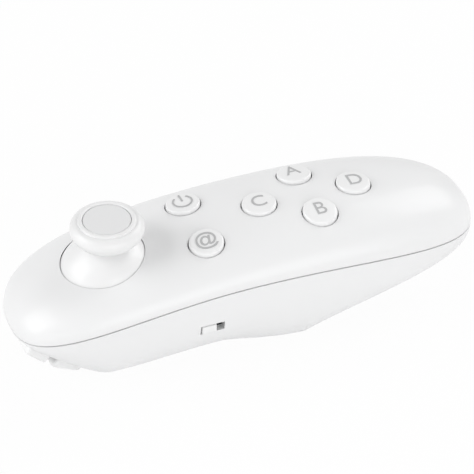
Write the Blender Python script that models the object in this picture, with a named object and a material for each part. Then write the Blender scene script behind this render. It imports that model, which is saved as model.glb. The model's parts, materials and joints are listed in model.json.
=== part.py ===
"""Handheld wireless remote for a phone headset, as an assembly of separate pieces.

Two arched shells hold a thumbstick on a two-axis gimbal, six round keys, two front
triggers, a side slide switch, the boards and two AAA cells under a door in the belly.

Frame: metres, +Z up, the stick end at -X and the tail at +X. The origin is on the flat
belly that the remote rests on, under the middle of the body.
"""

import math

import bmesh
import bpy
from mathutils import Matrix, Vector

# Body outline, seen from above
BODY_LENGTH = 0.124
BODY_WIDTH = 0.040
NOSE_X = -0.062
WIDEST_X = -0.009
FRONT_PLAN_POWERS = (4.0, 2.75)
REAR_PLAN_POWERS = (4.25, 2.45)

# Arched parting line, crest line and belly line, seen from the side
SEAM_PEAK_X = -0.003
SEAM_PEAK_Z = 0.0245
SEAM_FRONT_RADIUS = 0.175
SEAM_REAR_RADIUS = 0.290
CREST_X = 0.0155
CREST_Z = 0.0335
CREST_FRONT_RADIUS = 0.312
CREST_REAR_RADIUS = 0.245
FRONT_END_POWERS = (6.0, 2.0)
REAR_END_POWERS = (6.3, 2.5)
BELLY_FRONT_X = -0.0405
BELLY_PRESS = 0.0005
CHIN_POWER = 1.4
TAIL_POWERS = (0.8, 1.9)

# Cross sections: sideways and upright powers of the curves above and below the seam
TOP_POWERS = (2.75, 2.12)
LOWER_UPRIGHT_POWER = 2.9
LOWER_FRONT_POWER = 2.8
LOWER_WAIST_POWER = 2.1
LOWER_REAR_POWER = 5.2
FULL_FRONT_X = -0.044
WAIST_X = -0.012
FULL_REAR_X = 0.013

# Shell walls and the stepped joint between the shells
WALL = 0.0018
SEAM_GAP = 0.0004
LIP_HEIGHT = 0.0012
LIP_THICKNESS = 0.0006
FIT_GAP = 0.0003
PIN_GAP = 0.00015

# Cells, their bay and the door under them
CELL_LENGTH = 0.0445
CELL_RADIUS = 0.00525
CELL_NUB_RADIUS = 0.0019
CELL_NUB_LENGTH = 0.0008
CELL_SPACE = 0.0004
CONTACT_THICKNESS = 0.0004
CONTACT_HEIGHT = 0.0070
CONTACT_SPRING_LENGTH = 0.0018
CONTACT_SPRING_RADIUS = 0.0036
CONTACT_SPRING_TIP_RADIUS = 0.0022
CONTACT_SPRING_TURNS = 2
CONTACT_WIRE_RADIUS = 0.00025
BAY_FRONT_X = -0.0358
BAY_WALL = 0.0008
BAY_CELL_RISE = 0.0007
BAY_SKIRT_Z = 0.0062
DOOR_WIDTH = 0.026
DOOR_END_MARGIN = 0.0012
DOOR_CORNER = 0.003
DOOR_GAP = 0.00035
DOOR_HOOK_WIDTH = 0.003
DOOR_HOOK_REACH = 0.002
DOOR_HOOK_THICKNESS = 0.0010

# Boards
BOARD_THICKNESS = 0.0012
BOARD_CORNER = 0.0065
MAIN_BOARD_FRONT_X = -0.0445
MAIN_BOARD_REAR_X = 0.024
MAIN_BOARD_WIDTH = 0.0308
KEY_BOARD_FRONT_X = -0.0208
KEY_BOARD_REAR_X = 0.0352
KEY_BOARD_WIDTH = 0.0280
KEY_BOARD_TOP_Z = 0.0230
HEADER_X = 0.003
HEADER_Y = 0.0105
HEADER_LENGTH = 0.010
HEADER_WIDTH = 0.0025
RADIO_X = 0.015
RADIO_LENGTH = 0.013
RADIO_WIDTH = 0.011
RADIO_HEIGHT = 0.0019

# Round keys on the top face, and the silicone pad under them
KEYS = {
    "power_button": (-0.0126, 0.0085),
    "menu_button": (-0.0124, -0.0081),
    "c_button": (0.0047, 0.0),
    "a_button": (0.0175, 0.0085),
    "b_button": (0.0180, -0.0080),
    "d_button": (0.0303, 0.0),
}
KEY_RADIUS = 0.0044
KEY_PROUD = 0.0009
KEY_EDGE = 0.0006
KEY_FLANGE_WIDTH = 0.0008
KEY_FLANGE_THICKNESS = 0.0008
KEY_STEM_RADIUS = 0.0024
PAD_THICKNESS = 0.0008
PAD_MARGIN = 0.0045
DOME_HEIGHT = 0.0021
DOME_RADIUS = 0.0036
DOME_TOP_RADIUS = 0.0027

# Thumbstick and gimbal
STICK_X = -0.0354
HEM_RADIUS = 0.01085
HEM_Z = 0.02835
HEM_ABOVE_PIVOT = 0.0076
SKIRT_WALL = 0.0011
SKIRT_REACH_DEG = 83
SOCKET_GAP = 0.00035
CAP_TOP = 0.0119
PAD_RADIUS = 0.0058
PAD_RECESS = 0.0009
PAD_SINK = 0.0002
RING_RADIUS = 0.0073
RING_STEP = 0.0006
FLANGE_RADIUS = 0.00935
FLANGE_RISE = 0.0090
NECK_RADIUS = 0.0046
BOWL_POWER = 1.6
SHAFT_RADIUS = 0.0012
SHAFT_EYE_RADIUS = 0.0016
SHAFT_TOP = 0.0137
HUB_RADIUS = 0.0030
HUB_DROP = 0.0040
HOUSING_SIDE = 0.0150
HOUSING_WALL = 0.0012
HOUSING_TOP = 0.0026
TRUNNION_RADIUS = 0.0010
YOKE_LENGTH = 0.0104
YOKE_WALL = 0.0012
YOKE_HEIGHT = 0.0030
GIMBAL_PIN_RADIUS = 0.0006
ARCH_WIDTH = 0.0052
ARCH_RISE = 0.0031
ARCH_THICKNESS = 0.0011
ARCH_SLOT_LENGTH = 0.0064
FOOT_RADIUS = 0.0022
FOOT_DROP = 0.0019
FOOT_THICKNESS = 0.0006
CENTRING_SPRING_RADIUS = 0.0019
CENTRING_WIRE_RADIUS = 0.0002
CENTRING_SPRING_TURNS = 2
POT_DEPTH = 0.0025
POT_WIDTH = 0.0064
POT_HEIGHT = 0.0052

# Front triggers on the sloping chin
CHIN_FRONT_X = -0.060
CHIN_REAR_X = -0.043
TRIGGER_WIDTH = 0.0164
TRIGGER_EDGE = 0.0005
TRIGGER_RIM = 0.0007
TRIGGER_PLATE = 0.0010
TRIGGER_DOME_HEIGHT = 0.0019
TRIGGER_DOME_RADIUS = 0.0026
TRIGGER_PAD_THICKNESS = 0.0007
TRIGGER_BOARD_THICKNESS = 0.0010
BRACKET_WALL = 0.0011
BRACKET_WIDTH = 0.0140
# Of each trigger: its start down the chin, its length, and how proud its two ends stand
TRIGGERS = {
    "upper_trigger": (0.0014, 0.0070, 0.0027, 0.0037),
    "lower_trigger": (0.0104, 0.0082, 0.0042, 0.0025),
}

# Slide switch in the side wall
SWITCH_X = -0.0150
SWITCH_Z = 0.0141
SWITCH_KNOB_LENGTH = 0.0040
SWITCH_KNOB_HEIGHT = 0.0023
SWITCH_TRAVEL = 0.0018
SWITCH_PROUD = 0.0004
SWITCH_FLANGE = 0.0010
SWITCH_FLANGE_THICKNESS = 0.0007
SWITCH_BODY_LENGTH = 0.0090
SWITCH_BODY_HEIGHT = 0.0027

# Screws
CASE_SCREW_INSET = 0.012
FRONT_CASE_SCREW_Y = 0.0119
REAR_CASE_SCREW_Y = 0.0080
CASE_SCREW_RECESS = 0.0022
CASE_HEAD_RADIUS = 0.0015
CASE_HEAD_HEIGHT = 0.0012
CASE_SHANK_RADIUS = 0.0008
CASE_SCREW_BITE = 0.0030
CASE_BOSS_WALL = 0.0008
KEY_BOARD_SCREWS = {
    "key_board_screw_front": (-0.0185, 0.0),
    "key_board_screw_left": (0.0305, 0.0090),
    "key_board_screw_right": (0.0305, -0.0090),
}
MAIN_BOARD_SCREWS = {
    "main_board_screw_front": -0.0240,
    "main_board_screw_rear": 0.0090,
}
SMALL_HEAD_RADIUS = 0.0015
SMALL_HEAD_HEIGHT = 0.0009
SMALL_SHANK_RADIUS = 0.00075
SMALL_SCREW_BITE = 0.0028
SMALL_BOSS_WALL = 0.0010
SCREW_SOCKET_RADIUS = 0.0007

# Facets
FRONT_RINGS = 11
REAR_RINGS = 12
SECTION_STEPS = 16
ROUND_STEPS = 20
SMALL_ROUND_STEPS = 14
CAP_ARC_STEPS = 5
SKIRT_STEPS = 7
SOCKET_STEPS = 10
SEARCH_STEPS = 8
WIRE_SIDES = 6
WIRE_STEPS_PER_TURN = 10

# Sizes that follow from those above
TAIL_X = NOSE_X + BODY_LENGTH
PIVOT = Vector((STICK_X, 0, HEM_Z - HEM_ABOVE_PIVOT))
BALL_RADIUS = math.hypot(HEM_RADIUS, HEM_ABOVE_PIVOT)
ROUND_MIDDLE = 1 - math.sqrt(0.5)
LIP_STEP = WALL - LIP_THICKNESS
TOP_STEP = LIP_STEP - FIT_GAP
STEP_RISE = LIP_HEIGHT + FIT_GAP
BAY_WIDTH = 4 * CELL_RADIUS + 2 * CELL_SPACE
CELL_Z = WALL + BAY_CELL_RISE + CELL_RADIUS
CELL_Y = CELL_RADIUS + CELL_SPACE / 2
BAY_LENGTH = CELL_LENGTH + CONTACT_SPRING_LENGTH + 2 * CONTACT_THICKNESS + 5 * FIT_GAP
BAY_REAR_X = BAY_FRONT_X + BAY_LENGTH
BELLY_REAR_X = BAY_REAR_X - DOOR_END_MARGIN
BAY_ROOF_Z = CELL_Z + CELL_RADIUS + FIT_GAP
MAIN_BOARD_Z = BAY_ROOF_Z + BAY_WALL + FIT_GAP
MAIN_BOARD_TOP_Z = MAIN_BOARD_Z + BOARD_THICKNESS
KEY_BOARD_Z = KEY_BOARD_TOP_Z - BOARD_THICKNESS
DOME_TOP_Z = KEY_BOARD_TOP_Z + FIT_GAP + PAD_THICKNESS + DOME_HEIGHT
KEY_HOLE_RADIUS = KEY_RADIUS + FIT_GAP
CASE_BOSS_RADIUS = CASE_HEAD_RADIUS + FIT_GAP + CASE_BOSS_WALL
SMALL_BOSS_RADIUS = SMALL_SHANK_RADIUS + FIT_GAP + SMALL_BOSS_WALL
CASE_SCREWS = {
    "case_screw_front_left": (NOSE_X + CASE_SCREW_INSET, FRONT_CASE_SCREW_Y),
    "case_screw_front_right": (NOSE_X + CASE_SCREW_INSET, -FRONT_CASE_SCREW_Y),
    "case_screw_rear_left": (TAIL_X - CASE_SCREW_INSET, REAR_CASE_SCREW_Y),
    "case_screw_rear_right": (TAIL_X - CASE_SCREW_INSET, -REAR_CASE_SCREW_Y),
}


def clear_scene():
    for obj in list(bpy.data.objects):
        bpy.data.objects.remove(obj, do_unlink=True)


def material(name, colour, roughness, metallic=0.0):
    made = bpy.data.materials.get(name) or bpy.data.materials.new(name)
    made.use_nodes = True
    shader = made.node_tree.nodes["Principled BSDF"]
    shader.inputs["Base Color"].default_value = (*colour, 1)
    shader.inputs["Roughness"].default_value = roughness
    shader.inputs["Metallic"].default_value = metallic
    return made


def add_object(name, bm, finish, origin=(0, 0, 0), place=None):
    """One object from a mesh in world coordinates, with its own origin, or placed by a matrix."""
    bmesh.ops.recalc_face_normals(bm, faces=bm.faces)
    if place is None:
        bmesh.ops.translate(bm, verts=bm.verts, vec=-Vector(origin))
        place = Matrix.Translation(origin)
    mesh = bpy.data.meshes.new(name)
    bm.to_mesh(mesh)
    bm.free()
    mesh.shade_smooth()
    mesh.set_sharp_from_angle(angle=math.radians(35))
    obj = bpy.data.objects.new(name, mesh)
    obj.matrix_world = place
    bpy.context.scene.collection.objects.link(obj)
    if finish:
        mesh.materials.append(finish)
    else:
        obj.hide_render = True
        obj.display_type = "WIRE"
    return obj


def combine(obj, helper, operation):
    modifier = obj.modifiers.new(f"{operation.lower()} {helper.name}", "BOOLEAN")
    modifier.operation = operation
    modifier.solver = "EXACT"
    modifier.object = helper


def add_box(bm, low, high):
    made = bmesh.ops.create_cube(bm, size=1)["verts"]
    low, high = Vector(low), Vector(high)
    for vert in made:
        vert.co = Vector(l + (h - l) * (c + 0.5) for l, h, c in zip(low, high, vert.co))


def add_turned(bm, profile, steps, centre=(0, 0, 0), axis="Z"):
    """A solid of revolution from (radius, height) points that start and end on its axis."""
    turn = {
        "Z": Matrix.Identity(3),
        "X": Matrix.Rotation(math.pi / 2, 3, "Y"),
        "Y": Matrix.Rotation(-math.pi / 2, 3, "X"),
    }[axis]
    rings = []
    for radius, height in profile:
        count = steps if radius > 0 else 1
        ring = []
        for k in range(count):
            angle = 2 * math.pi * k / steps
            point = Vector((radius * math.cos(angle), radius * math.sin(angle), height))
            ring.append(bm.verts.new(turn @ point + Vector(centre)))
        rings.append(ring)
    for lower, upper in zip(rings, rings[1:]):
        join_rings(bm, lower, upper, steps)


def join_rings(bm, lower, upper, steps):
    for k in range(steps):
        following = (k + 1) % steps
        if len(lower) == 1:
            bm.faces.new((lower[0], upper[k], upper[following]))
        elif len(upper) == 1:
            bm.faces.new((lower[following], lower[k], upper[0]))
        else:
            bm.faces.new((lower[following], lower[k], upper[k], upper[following]))


def add_cylinder(bm, centre, radius, low, high, axis="Z", steps=SMALL_ROUND_STEPS):
    add_turned(bm, [(0, low), (radius, low), (radius, high), (0, high)], steps, centre, axis)


def add_plate(bm, low_x, high_x, half_width, corner, low_z, high_z):
    """A flat plate with rounded corners, from an outline of four arcs."""
    outline = []
    arc_steps = 5
    corners = [(1, 1), (-1, 1), (-1, -1), (1, -1)]
    for turn, (side_x, side_y) in enumerate(corners):
        centre_x = high_x - corner if side_x > 0 else low_x + corner
        centre_y = side_y * (half_width - corner)
        for k in range(arc_steps + 1):
            angle = (turn + k / arc_steps) * math.pi / 2
            outline.append((centre_x + corner * math.cos(angle), centre_y + corner * math.sin(angle)))
    lower = [bm.verts.new((x, y, low_z)) for x, y in outline]
    upper = [bm.verts.new((x, y, high_z)) for x, y in outline]
    bm.faces.new(lower)
    bm.faces.new(upper)
    join_rings(bm, lower, upper, len(outline))


def add_post(bm, x, y, radius, flat_z, surface):
    """A round post with one flat end, whose other end lies along a curved wall."""
    flat = add_ring(bm, x, y, radius, lambda *_: flat_z)
    buried = add_ring(bm, x, y, radius, surface)
    halfway = add_ring(bm, x, y, radius / 2, surface)
    middle = bm.verts.new((x, y, surface(x, y)))
    bm.faces.new(flat)
    join_rings(bm, flat, buried, SMALL_ROUND_STEPS)
    join_rings(bm, buried, halfway, SMALL_ROUND_STEPS)
    join_rings(bm, halfway, [middle], SMALL_ROUND_STEPS)


def add_ring(bm, x, y, radius, height):
    """A circle of points in plan, each at the height of a surface over it."""
    ring = []
    for k in range(SMALL_ROUND_STEPS):
        angle = 2 * math.pi * k / SMALL_ROUND_STEPS
        point_x = x + radius * math.cos(angle)
        point_y = y + radius * math.sin(angle)
        ring.append(bm.verts.new((point_x, point_y, height(point_x, point_y))))
    return ring


def add_helix(bm, start, axis, length, first_radius, last_radius, turns, wire):
    """One unbroken coil of round wire, flat at both ends. Returns its middle line."""
    axis = Vector(axis)
    across = axis.orthogonal().normalized()
    upright = axis.cross(across)
    count = turns * WIRE_STEPS_PER_TURN
    line = []
    for k in range(count + 1):
        share = k / count
        angle = 2 * math.pi * turns * share
        radius = first_radius + (last_radius - first_radius) * share
        turned = across * math.cos(angle) + upright * math.sin(angle)
        line.append(Vector(start) + axis * (wire + (length - 2 * wire) * share) + turned * radius)
    rings = []
    for k, point in enumerate(line):
        along = (line[min(k + 1, count)] - line[max(k - 1, 0)]).normalized()
        side = along.cross(axis).normalized()
        rise = side.cross(along)
        ring = []
        for corner in range(WIRE_SIDES):
            angle = 2 * math.pi * corner / WIRE_SIDES
            ring.append(bm.verts.new(point + (side * math.cos(angle) + rise * math.sin(angle)) * wire))
        rings.append(ring)
    for lower, upper in zip(rings, rings[1:]):
        join_rings(bm, lower, upper, WIRE_SIDES)
    bm.faces.new(rings[0])
    bm.faces.new(rings[-1])
    return line


def least_gap(line, wire):
    """Least free gap between points of a coil that are at least half a turn apart."""
    apart = WIRE_STEPS_PER_TURN // 2
    distances = [(a - b).length for i, a in enumerate(line) for b in line[i + apart:]]
    return min(distances) - 2 * wire


def half_width(x, inset=0.0):
    """Half the body's width at x, of the outline moved inwards by the inset."""
    power, root = FRONT_PLAN_POWERS if x < WIDEST_X else REAR_PLAN_POWERS
    return (BODY_WIDTH / 2 - inset) * (1 - end_share(x, inset) ** power) ** (1 / root)


def end_share(x, inset):
    """0 at the widest place, 1 at the nose or the tail."""
    end = NOSE_X + inset if x < WIDEST_X else TAIL_X - inset
    return min(max((x - WIDEST_X) / (end - WIDEST_X), 0.0), 1.0)


def seam_z(x):
    away = x - SEAM_PEAK_X
    radius = SEAM_FRONT_RADIUS if away < 0 else SEAM_REAR_RADIUS
    return SEAM_PEAK_Z - away * away / (2 * radius)


def top_rise(x, base, inset=0.0):
    """Height of the crest above the base, rounded off towards the nose and the tail."""
    away = x - CREST_X
    radius = CREST_FRONT_RADIUS if away < 0 else CREST_REAR_RADIUS
    power, root = FRONT_END_POWERS if x < WIDEST_X else REAR_END_POWERS
    rounding = (1 - end_share(x, inset) ** power) ** (1 / root)
    return (CREST_Z - away * away / (2 * radius) - inset - base) * rounding


def lower_depth(x, base, inset=0.0):
    """Depth of the belly line under the base, before the belly is pressed flat."""
    share = 1.0
    if x < BELLY_FRONT_X:
        share = 1 - min((BELLY_FRONT_X - x) / (BELLY_FRONT_X - NOSE_X - inset), 1.0) ** CHIN_POWER
    elif x > BELLY_REAR_X:
        power, root = TAIL_POWERS
        share = (1 - min((x - BELLY_REAR_X) / (TAIL_X - inset - BELLY_REAR_X), 1.0) ** power) ** (1 / root)
    return (base + BELLY_PRESS - inset) * share


def ease(x, start, end):
    share = min(max((x - start) / (end - start), 0.0), 1.0)
    return share * share * (3 - 2 * share)


def lower_power(x):
    """Sideways power of the lower section: round at the finger waist, square towards the tail."""
    waist = LOWER_FRONT_POWER + (LOWER_WAIST_POWER - LOWER_FRONT_POWER) * ease(x, FULL_FRONT_X, WAIST_X)
    return waist + (LOWER_REAR_POWER - LOWER_WAIST_POWER) * ease(x, WAIST_X, FULL_REAR_X)


def top_z(x, y, inset=0.0):
    """Height of the upper surface over a point of the plan."""
    sideways, upright = TOP_POWERS
    across = min(abs(y) / half_width(x, inset), 1.0)
    base = seam_z(x)
    return base + top_rise(x, base, inset) * (1 - across ** sideways) ** (1 / upright)


def belly_z(x, y, inset=0.0):
    """Height of the lower surface over a point of the plan."""
    across = min(abs(y) / half_width(x, inset), 1.0)
    base = seam_z(x)
    drop = lower_depth(x, base, inset) * (1 - across ** lower_power(x)) ** (1 / LOWER_UPRIGHT_POWER)
    return max(base - drop, inset)


def mid_top(x, y):
    return (top_z(x, y) + top_z(x, y, WALL)) / 2


def mid_belly(x, y):
    return (belly_z(x, y) + belly_z(x, y, WALL)) / 2


def plan_stations(inset):
    """(x, half width) from nose to tail, closer together towards both ends."""
    to_nose, to_tail = NOSE_X + inset - WIDEST_X, TAIL_X - inset - WIDEST_X
    front = [WIDEST_X + (1 - (k / FRONT_RINGS) ** 2) * to_nose for k in range(FRONT_RINGS + 1)]
    rear = [WIDEST_X + (1 - (k / REAR_RINGS) ** 2) * to_tail for k in range(REAR_RINGS)]
    return [(x, half_width(x, inset)) for x in front + rear[::-1]]


def add_skin(bm, inset, rim_rise, upper):
    """One curved skin of a shell. Returns its rim, once round the plan from the nose."""
    stations = plan_stations(inset)
    rings = []
    for x, side in stations:
        base = seam_z(x) + rim_rise
        if len(rings) in (0, len(stations) - 1):
            rings.append([bm.verts.new((x, 0, base))])
            continue
        if upper:
            sideways, upright = TOP_POWERS
            rise = top_rise(x, base, inset)
        else:
            sideways, upright = lower_power(x), LOWER_UPRIGHT_POWER
            rise = -lower_depth(x, base, inset)
        ring = []
        for k in range(SECTION_STEPS + 1):
            angle = math.pi * k / SECTION_STEPS
            cosine = math.cos(angle)
            y = math.copysign(side * abs(cosine) ** (2 / sideways), cosine)
            z = base + rise * max(math.sin(angle), 0) ** (2 / upright)
            ring.append(bm.verts.new((x, y, z if upper else max(z, inset))))
        rings.append(ring)
    for before, after in zip(rings, rings[1:]):
        for k in range(SECTION_STEPS):
            if len(before) == 1:
                bm.faces.new((before[0], after[k], after[k + 1]))
            elif len(after) == 1:
                bm.faces.new((before[k], before[k + 1], after[0]))
            else:
                bm.faces.new((before[k], before[k + 1], after[k + 1], after[k]))
    return [ring[0] for ring in rings] + [ring[-1] for ring in rings[-2:0:-1]]


def add_rim(bm, inset, rise):
    """One loop of points along the joint between the shells."""
    left = plan_stations(inset)
    right = [(x, -side) for x, side in left[-2:0:-1]]
    return [bm.verts.new((x, y, seam_z(x) + rise)) for x, y in left + right]


def join_loops(bm, loops):
    for before, after in zip(loops, loops[1:]):
        join_rings(bm, before, after, len(before))


def top_shell_mesh():
    """The upper shell's wall, with a step inside its rim for the lower shell's lip."""
    bm = bmesh.new()
    outer = add_skin(bm, 0.0, SEAM_GAP / 2, True)
    loops = [outer, add_rim(bm, TOP_STEP, SEAM_GAP / 2), add_rim(bm, TOP_STEP, STEP_RISE)]
    loops.append(add_skin(bm, WALL, STEP_RISE, True))
    join_loops(bm, loops)
    return bm


def bottom_shell_mesh():
    """The lower shell's wall, with a thin lip standing inside its rim."""
    bm = bmesh.new()
    outer = add_skin(bm, 0.0, -SEAM_GAP / 2, False)
    loops = [outer, add_rim(bm, LIP_STEP, -SEAM_GAP / 2), add_rim(bm, LIP_STEP, LIP_HEIGHT)]
    loops.append(add_rim(bm, WALL, LIP_HEIGHT))
    loops.append(add_skin(bm, WALL, -SEAM_GAP / 2, False))
    join_loops(bm, loops)
    return bm


def boss_ends(x):
    """Flat ends of the lower and the upper boss of a case screw, clear of the sloping seam."""
    sides = seam_z(x - CASE_BOSS_RADIUS), seam_z(x + CASE_BOSS_RADIUS)
    return min(sides) - FIT_GAP / 2, max(sides) + FIT_GAP / 2


def case_screw_seat(x, y):
    """Height of the ledge that a case screw's head pulls against."""
    return belly_z(x, y) + CASE_SCREW_RECESS + CASE_HEAD_HEIGHT + FIT_GAP


def make_top_shell(finish):
    shell = add_object("top_shell", top_shell_mesh(), finish)
    posts = bmesh.new()
    holes = bmesh.new()
    for x, y in CASE_SCREWS.values():
        foot = boss_ends(x)[1]
        add_post(posts, x, y, CASE_SHANK_RADIUS + FIT_GAP + CASE_BOSS_WALL, foot, mid_top)
        depth = foot + CASE_SCREW_BITE + FIT_GAP
        add_cylinder(holes, (x, y, 0), CASE_SHANK_RADIUS + PIN_GAP, foot - WALL, depth)
    for x, y in KEY_BOARD_SCREWS.values():
        foot = KEY_BOARD_TOP_Z + FIT_GAP
        add_post(posts, x, y, SMALL_BOSS_RADIUS, foot, mid_top)
        depth = foot + SMALL_SCREW_BITE + FIT_GAP
        add_cylinder(holes, (x, y, 0), SMALL_SHANK_RADIUS + PIN_GAP, foot - WALL, depth)
    for x, y in KEYS.values():
        low = top_z(x, y) - 3 * WALL
        add_cylinder(holes, (x, y, 0), KEY_HOLE_RADIUS, low, top_z(x, y) + 2 * WALL, steps=ROUND_STEPS)
    combine(shell, add_object("top_posts", posts, None), "UNION")
    combine(shell, add_object("top_holes", holes, None), "DIFFERENCE")
    socket = bmesh.new()
    radius = BALL_RADIUS + SOCKET_GAP
    reach = math.radians(SKIRT_REACH_DEG)
    arc = []
    for k in range(SOCKET_STEPS):
        angle = reach * (1 - k / SOCKET_STEPS)
        arc.append((radius * math.sin(angle), radius * math.cos(angle)))
    add_turned(socket, [(0, radius * math.cos(reach)), *arc, (0, radius)], 2 * ROUND_STEPS, PIVOT)
    combine(shell, add_object("stick_socket", socket, None), "DIFFERENCE")


def make_bottom_shell(finish):
    shell = add_object("bottom_shell", bottom_shell_mesh(), finish)
    posts = bmesh.new()
    holes = bmesh.new()
    for x, y in CASE_SCREWS.values():
        seat = case_screw_seat(x, y)
        top = boss_ends(x)[0]
        add_post(posts, x, y, CASE_BOSS_RADIUS, top, mid_belly)
        wide = CASE_HEAD_RADIUS + FIT_GAP
        narrow = CASE_SHANK_RADIUS + FIT_GAP
        low = belly_z(x, y) - 2 * WALL
        steps = [(0, low), (wide, low), (wide, seat), (narrow, seat), (narrow, top + WALL), (0, top + WALL)]
        add_turned(holes, steps, SMALL_ROUND_STEPS, (x, y, 0))
    add_plate(holes, *door_span(), DOOR_WIDTH / 2, DOOR_CORNER, -WALL, door_cut_top())
    slot_half = (SWITCH_KNOB_LENGTH + SWITCH_TRAVEL) / 2 + FIT_GAP
    slot_rise = SWITCH_KNOB_HEIGHT / 2 + FIT_GAP
    low = (SWITCH_X - slot_half, -BODY_WIDTH, SWITCH_Z - slot_rise)
    high = (SWITCH_X + slot_half, switch_inner_y() + WALL, SWITCH_Z + slot_rise)
    add_box(holes, low, high)
    combine(shell, add_object("bottom_posts", posts, None), "UNION")
    combine(shell, add_object("bottom_holes", holes, None), "DIFFERENCE")
    windows = bmesh.new()
    side = TRIGGER_WIDTH / 2 + FIT_GAP
    for start, length, *_ in TRIGGERS.values():
        low = (start - FIT_GAP, -side, -3 * WALL)
        add_box(windows, low, (start + length + FIT_GAP, side, trigger_plate_level()))
    cutter = add_object("trigger_windows", windows, None, place=chin_place())
    combine(shell, cutter, "DIFFERENCE")


def door_span():
    return BAY_FRONT_X + DOOR_END_MARGIN, BAY_REAR_X - DOOR_END_MARGIN


def door_cut_top():
    """Just over the highest place of the wall along the door's edge."""
    low_x, high_x = door_span()
    step = (high_x - low_x) / SEARCH_STEPS
    return max(belly_z(low_x + k * step, DOOR_WIDTH / 2, WALL) for k in range(SEARCH_STEPS + 1)) + FIT_GAP


def make_battery_door(finish):
    """The door is the part of the belly's wall inside its opening, with a hook at the front."""
    door = add_object("battery_door", bottom_shell_mesh(), finish, origin=(door_span()[0], 0, 0))
    trim = bmesh.new()
    low_x, high_x = door_span()
    half = DOOR_WIDTH / 2 - DOOR_GAP
    add_plate(trim, low_x + DOOR_GAP, high_x - DOOR_GAP, half, DOOR_CORNER, -WALL, door_cut_top())
    combine(door, add_object("door_trim", trim, None), "INTERSECT")
    half = DOOR_HOOK_WIDTH / 2
    front, back = low_x - DOOR_HOOK_REACH, low_x + DOOR_HOOK_REACH
    level = max(belly_z(low_x, half, WALL), belly_z(front, half, WALL)) + FIT_GAP
    knuckle = bmesh.new()
    foot = (low_x + DOOR_GAP + FIT_GAP, FIT_GAP - half, WALL / 2)
    add_box(knuckle, foot, (back - FIT_GAP, half - FIT_GAP, level + DOOR_HOOK_THICKNESS / 2))
    combine(door, add_object("door_knuckle", knuckle, None), "UNION")
    hook = bmesh.new()
    add_box(hook, (front, -half, level), (back, half, level + DOOR_HOOK_THICKNESS))
    combine(door, add_object("door_hook", hook, None), "UNION")


def make_battery_bay(finish):
    bm = bmesh.new()
    side = BAY_WIDTH / 2 + BAY_WALL
    roof = BAY_ROOF_Z + BAY_WALL
    add_box(bm, (BAY_FRONT_X - BAY_WALL, -side, BAY_SKIRT_Z), (BAY_REAR_X + BAY_WALL, side, roof))
    bay = add_object("battery_bay", bm, finish)
    posts = bmesh.new()
    holes = bmesh.new()
    for x, y in main_screw_places().values():
        foot = roof - SMALL_SCREW_BITE - BAY_WALL
        add_cylinder(posts, (x, y, 0), SMALL_BOSS_RADIUS, foot, roof)
        add_cylinder(holes, (x, y, 0), SMALL_SHANK_RADIUS + PIN_GAP, roof - SMALL_SCREW_BITE, roof + WALL)
    add_box(holes, (BAY_FRONT_X, -BAY_WIDTH / 2, 0), (BAY_REAR_X, BAY_WIDTH / 2, BAY_ROOF_Z))
    combine(bay, add_object("bay_posts", posts, None), "UNION")
    combine(bay, add_object("bay_hollow", holes, None), "DIFFERENCE")


def main_screw_places():
    """Plan places of the main board's screws, the front one on the left, the rear one on the right."""
    y = BAY_WIDTH / 2 + SMALL_BOSS_RADIUS + FIT_GAP
    return {name: (x, side * y) for (name, x), side in zip(MAIN_BOARD_SCREWS.items(), (1, -1))}


def make_cells(jacket, steel):
    """Two cells side by side, pointing opposite ways, with a coil at each flat end."""
    for name, side, points_back in (("left", 1, True), ("right", -1, False)):
        sense = 1 if points_back else -1
        wall = BAY_FRONT_X if points_back else BAY_REAR_X
        flat_x = wall + sense * (3 * FIT_GAP + CONTACT_THICKNESS + CONTACT_SPRING_LENGTH)
        body = CELL_LENGTH - CELL_NUB_LENGTH
        profile = [
            (0, 0),
            (CELL_RADIUS, 0),
            (CELL_RADIUS, sense * body),
            (CELL_NUB_RADIUS, sense * body),
            (CELL_NUB_RADIUS, sense * CELL_LENGTH),
            (0, sense * CELL_LENGTH),
        ]
        bm = bmesh.new()
        add_turned(bm, profile, ROUND_STEPS, (flat_x, side * CELL_Y, CELL_Z), "X")
        add_object(f"battery_cell_{name}", bm, jacket)
        coil = bmesh.new()
        start = (flat_x - sense * (CONTACT_SPRING_LENGTH + FIT_GAP), side * CELL_Y, CELL_Z)
        line = add_helix(
            coil, start, (sense, 0, 0), CONTACT_SPRING_LENGTH, CONTACT_SPRING_RADIUS,
            CONTACT_SPRING_TIP_RADIUS, CONTACT_SPRING_TURNS, CONTACT_WIRE_RADIUS,
        )
        add_object(f"contact_spring_{name}", coil, steel)
        gap = least_gap(line, CONTACT_WIRE_RADIUS)
        print(f"contact_spring_{name}: least gap to itself {gap * 1000:.2f} mm")


def make_contacts(steel):
    """Two single plates at the front and one plate that joins both cells at the rear."""
    low = CELL_Z - CONTACT_HEIGHT / 2
    high = CELL_Z + CONTACT_HEIGHT / 2
    half = CELL_RADIUS - CELL_SPACE
    spans = {
        "contact_plate_left": (1, CELL_Y - half, CELL_Y + half),
        "contact_plate_right": (1, -CELL_Y - half, -CELL_Y + half),
        "contact_bridge": (-1, -CELL_Y - half, CELL_Y + half),
    }
    for name, (sense, low_y, high_y) in spans.items():
        wall = BAY_FRONT_X if sense > 0 else BAY_REAR_X
        near = wall + sense * FIT_GAP
        far = near + sense * CONTACT_THICKNESS
        bm = bmesh.new()
        add_box(bm, (min(near, far), low_y, low), (max(near, far), high_y, high))
        add_object(name, bm, steel)


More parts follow.
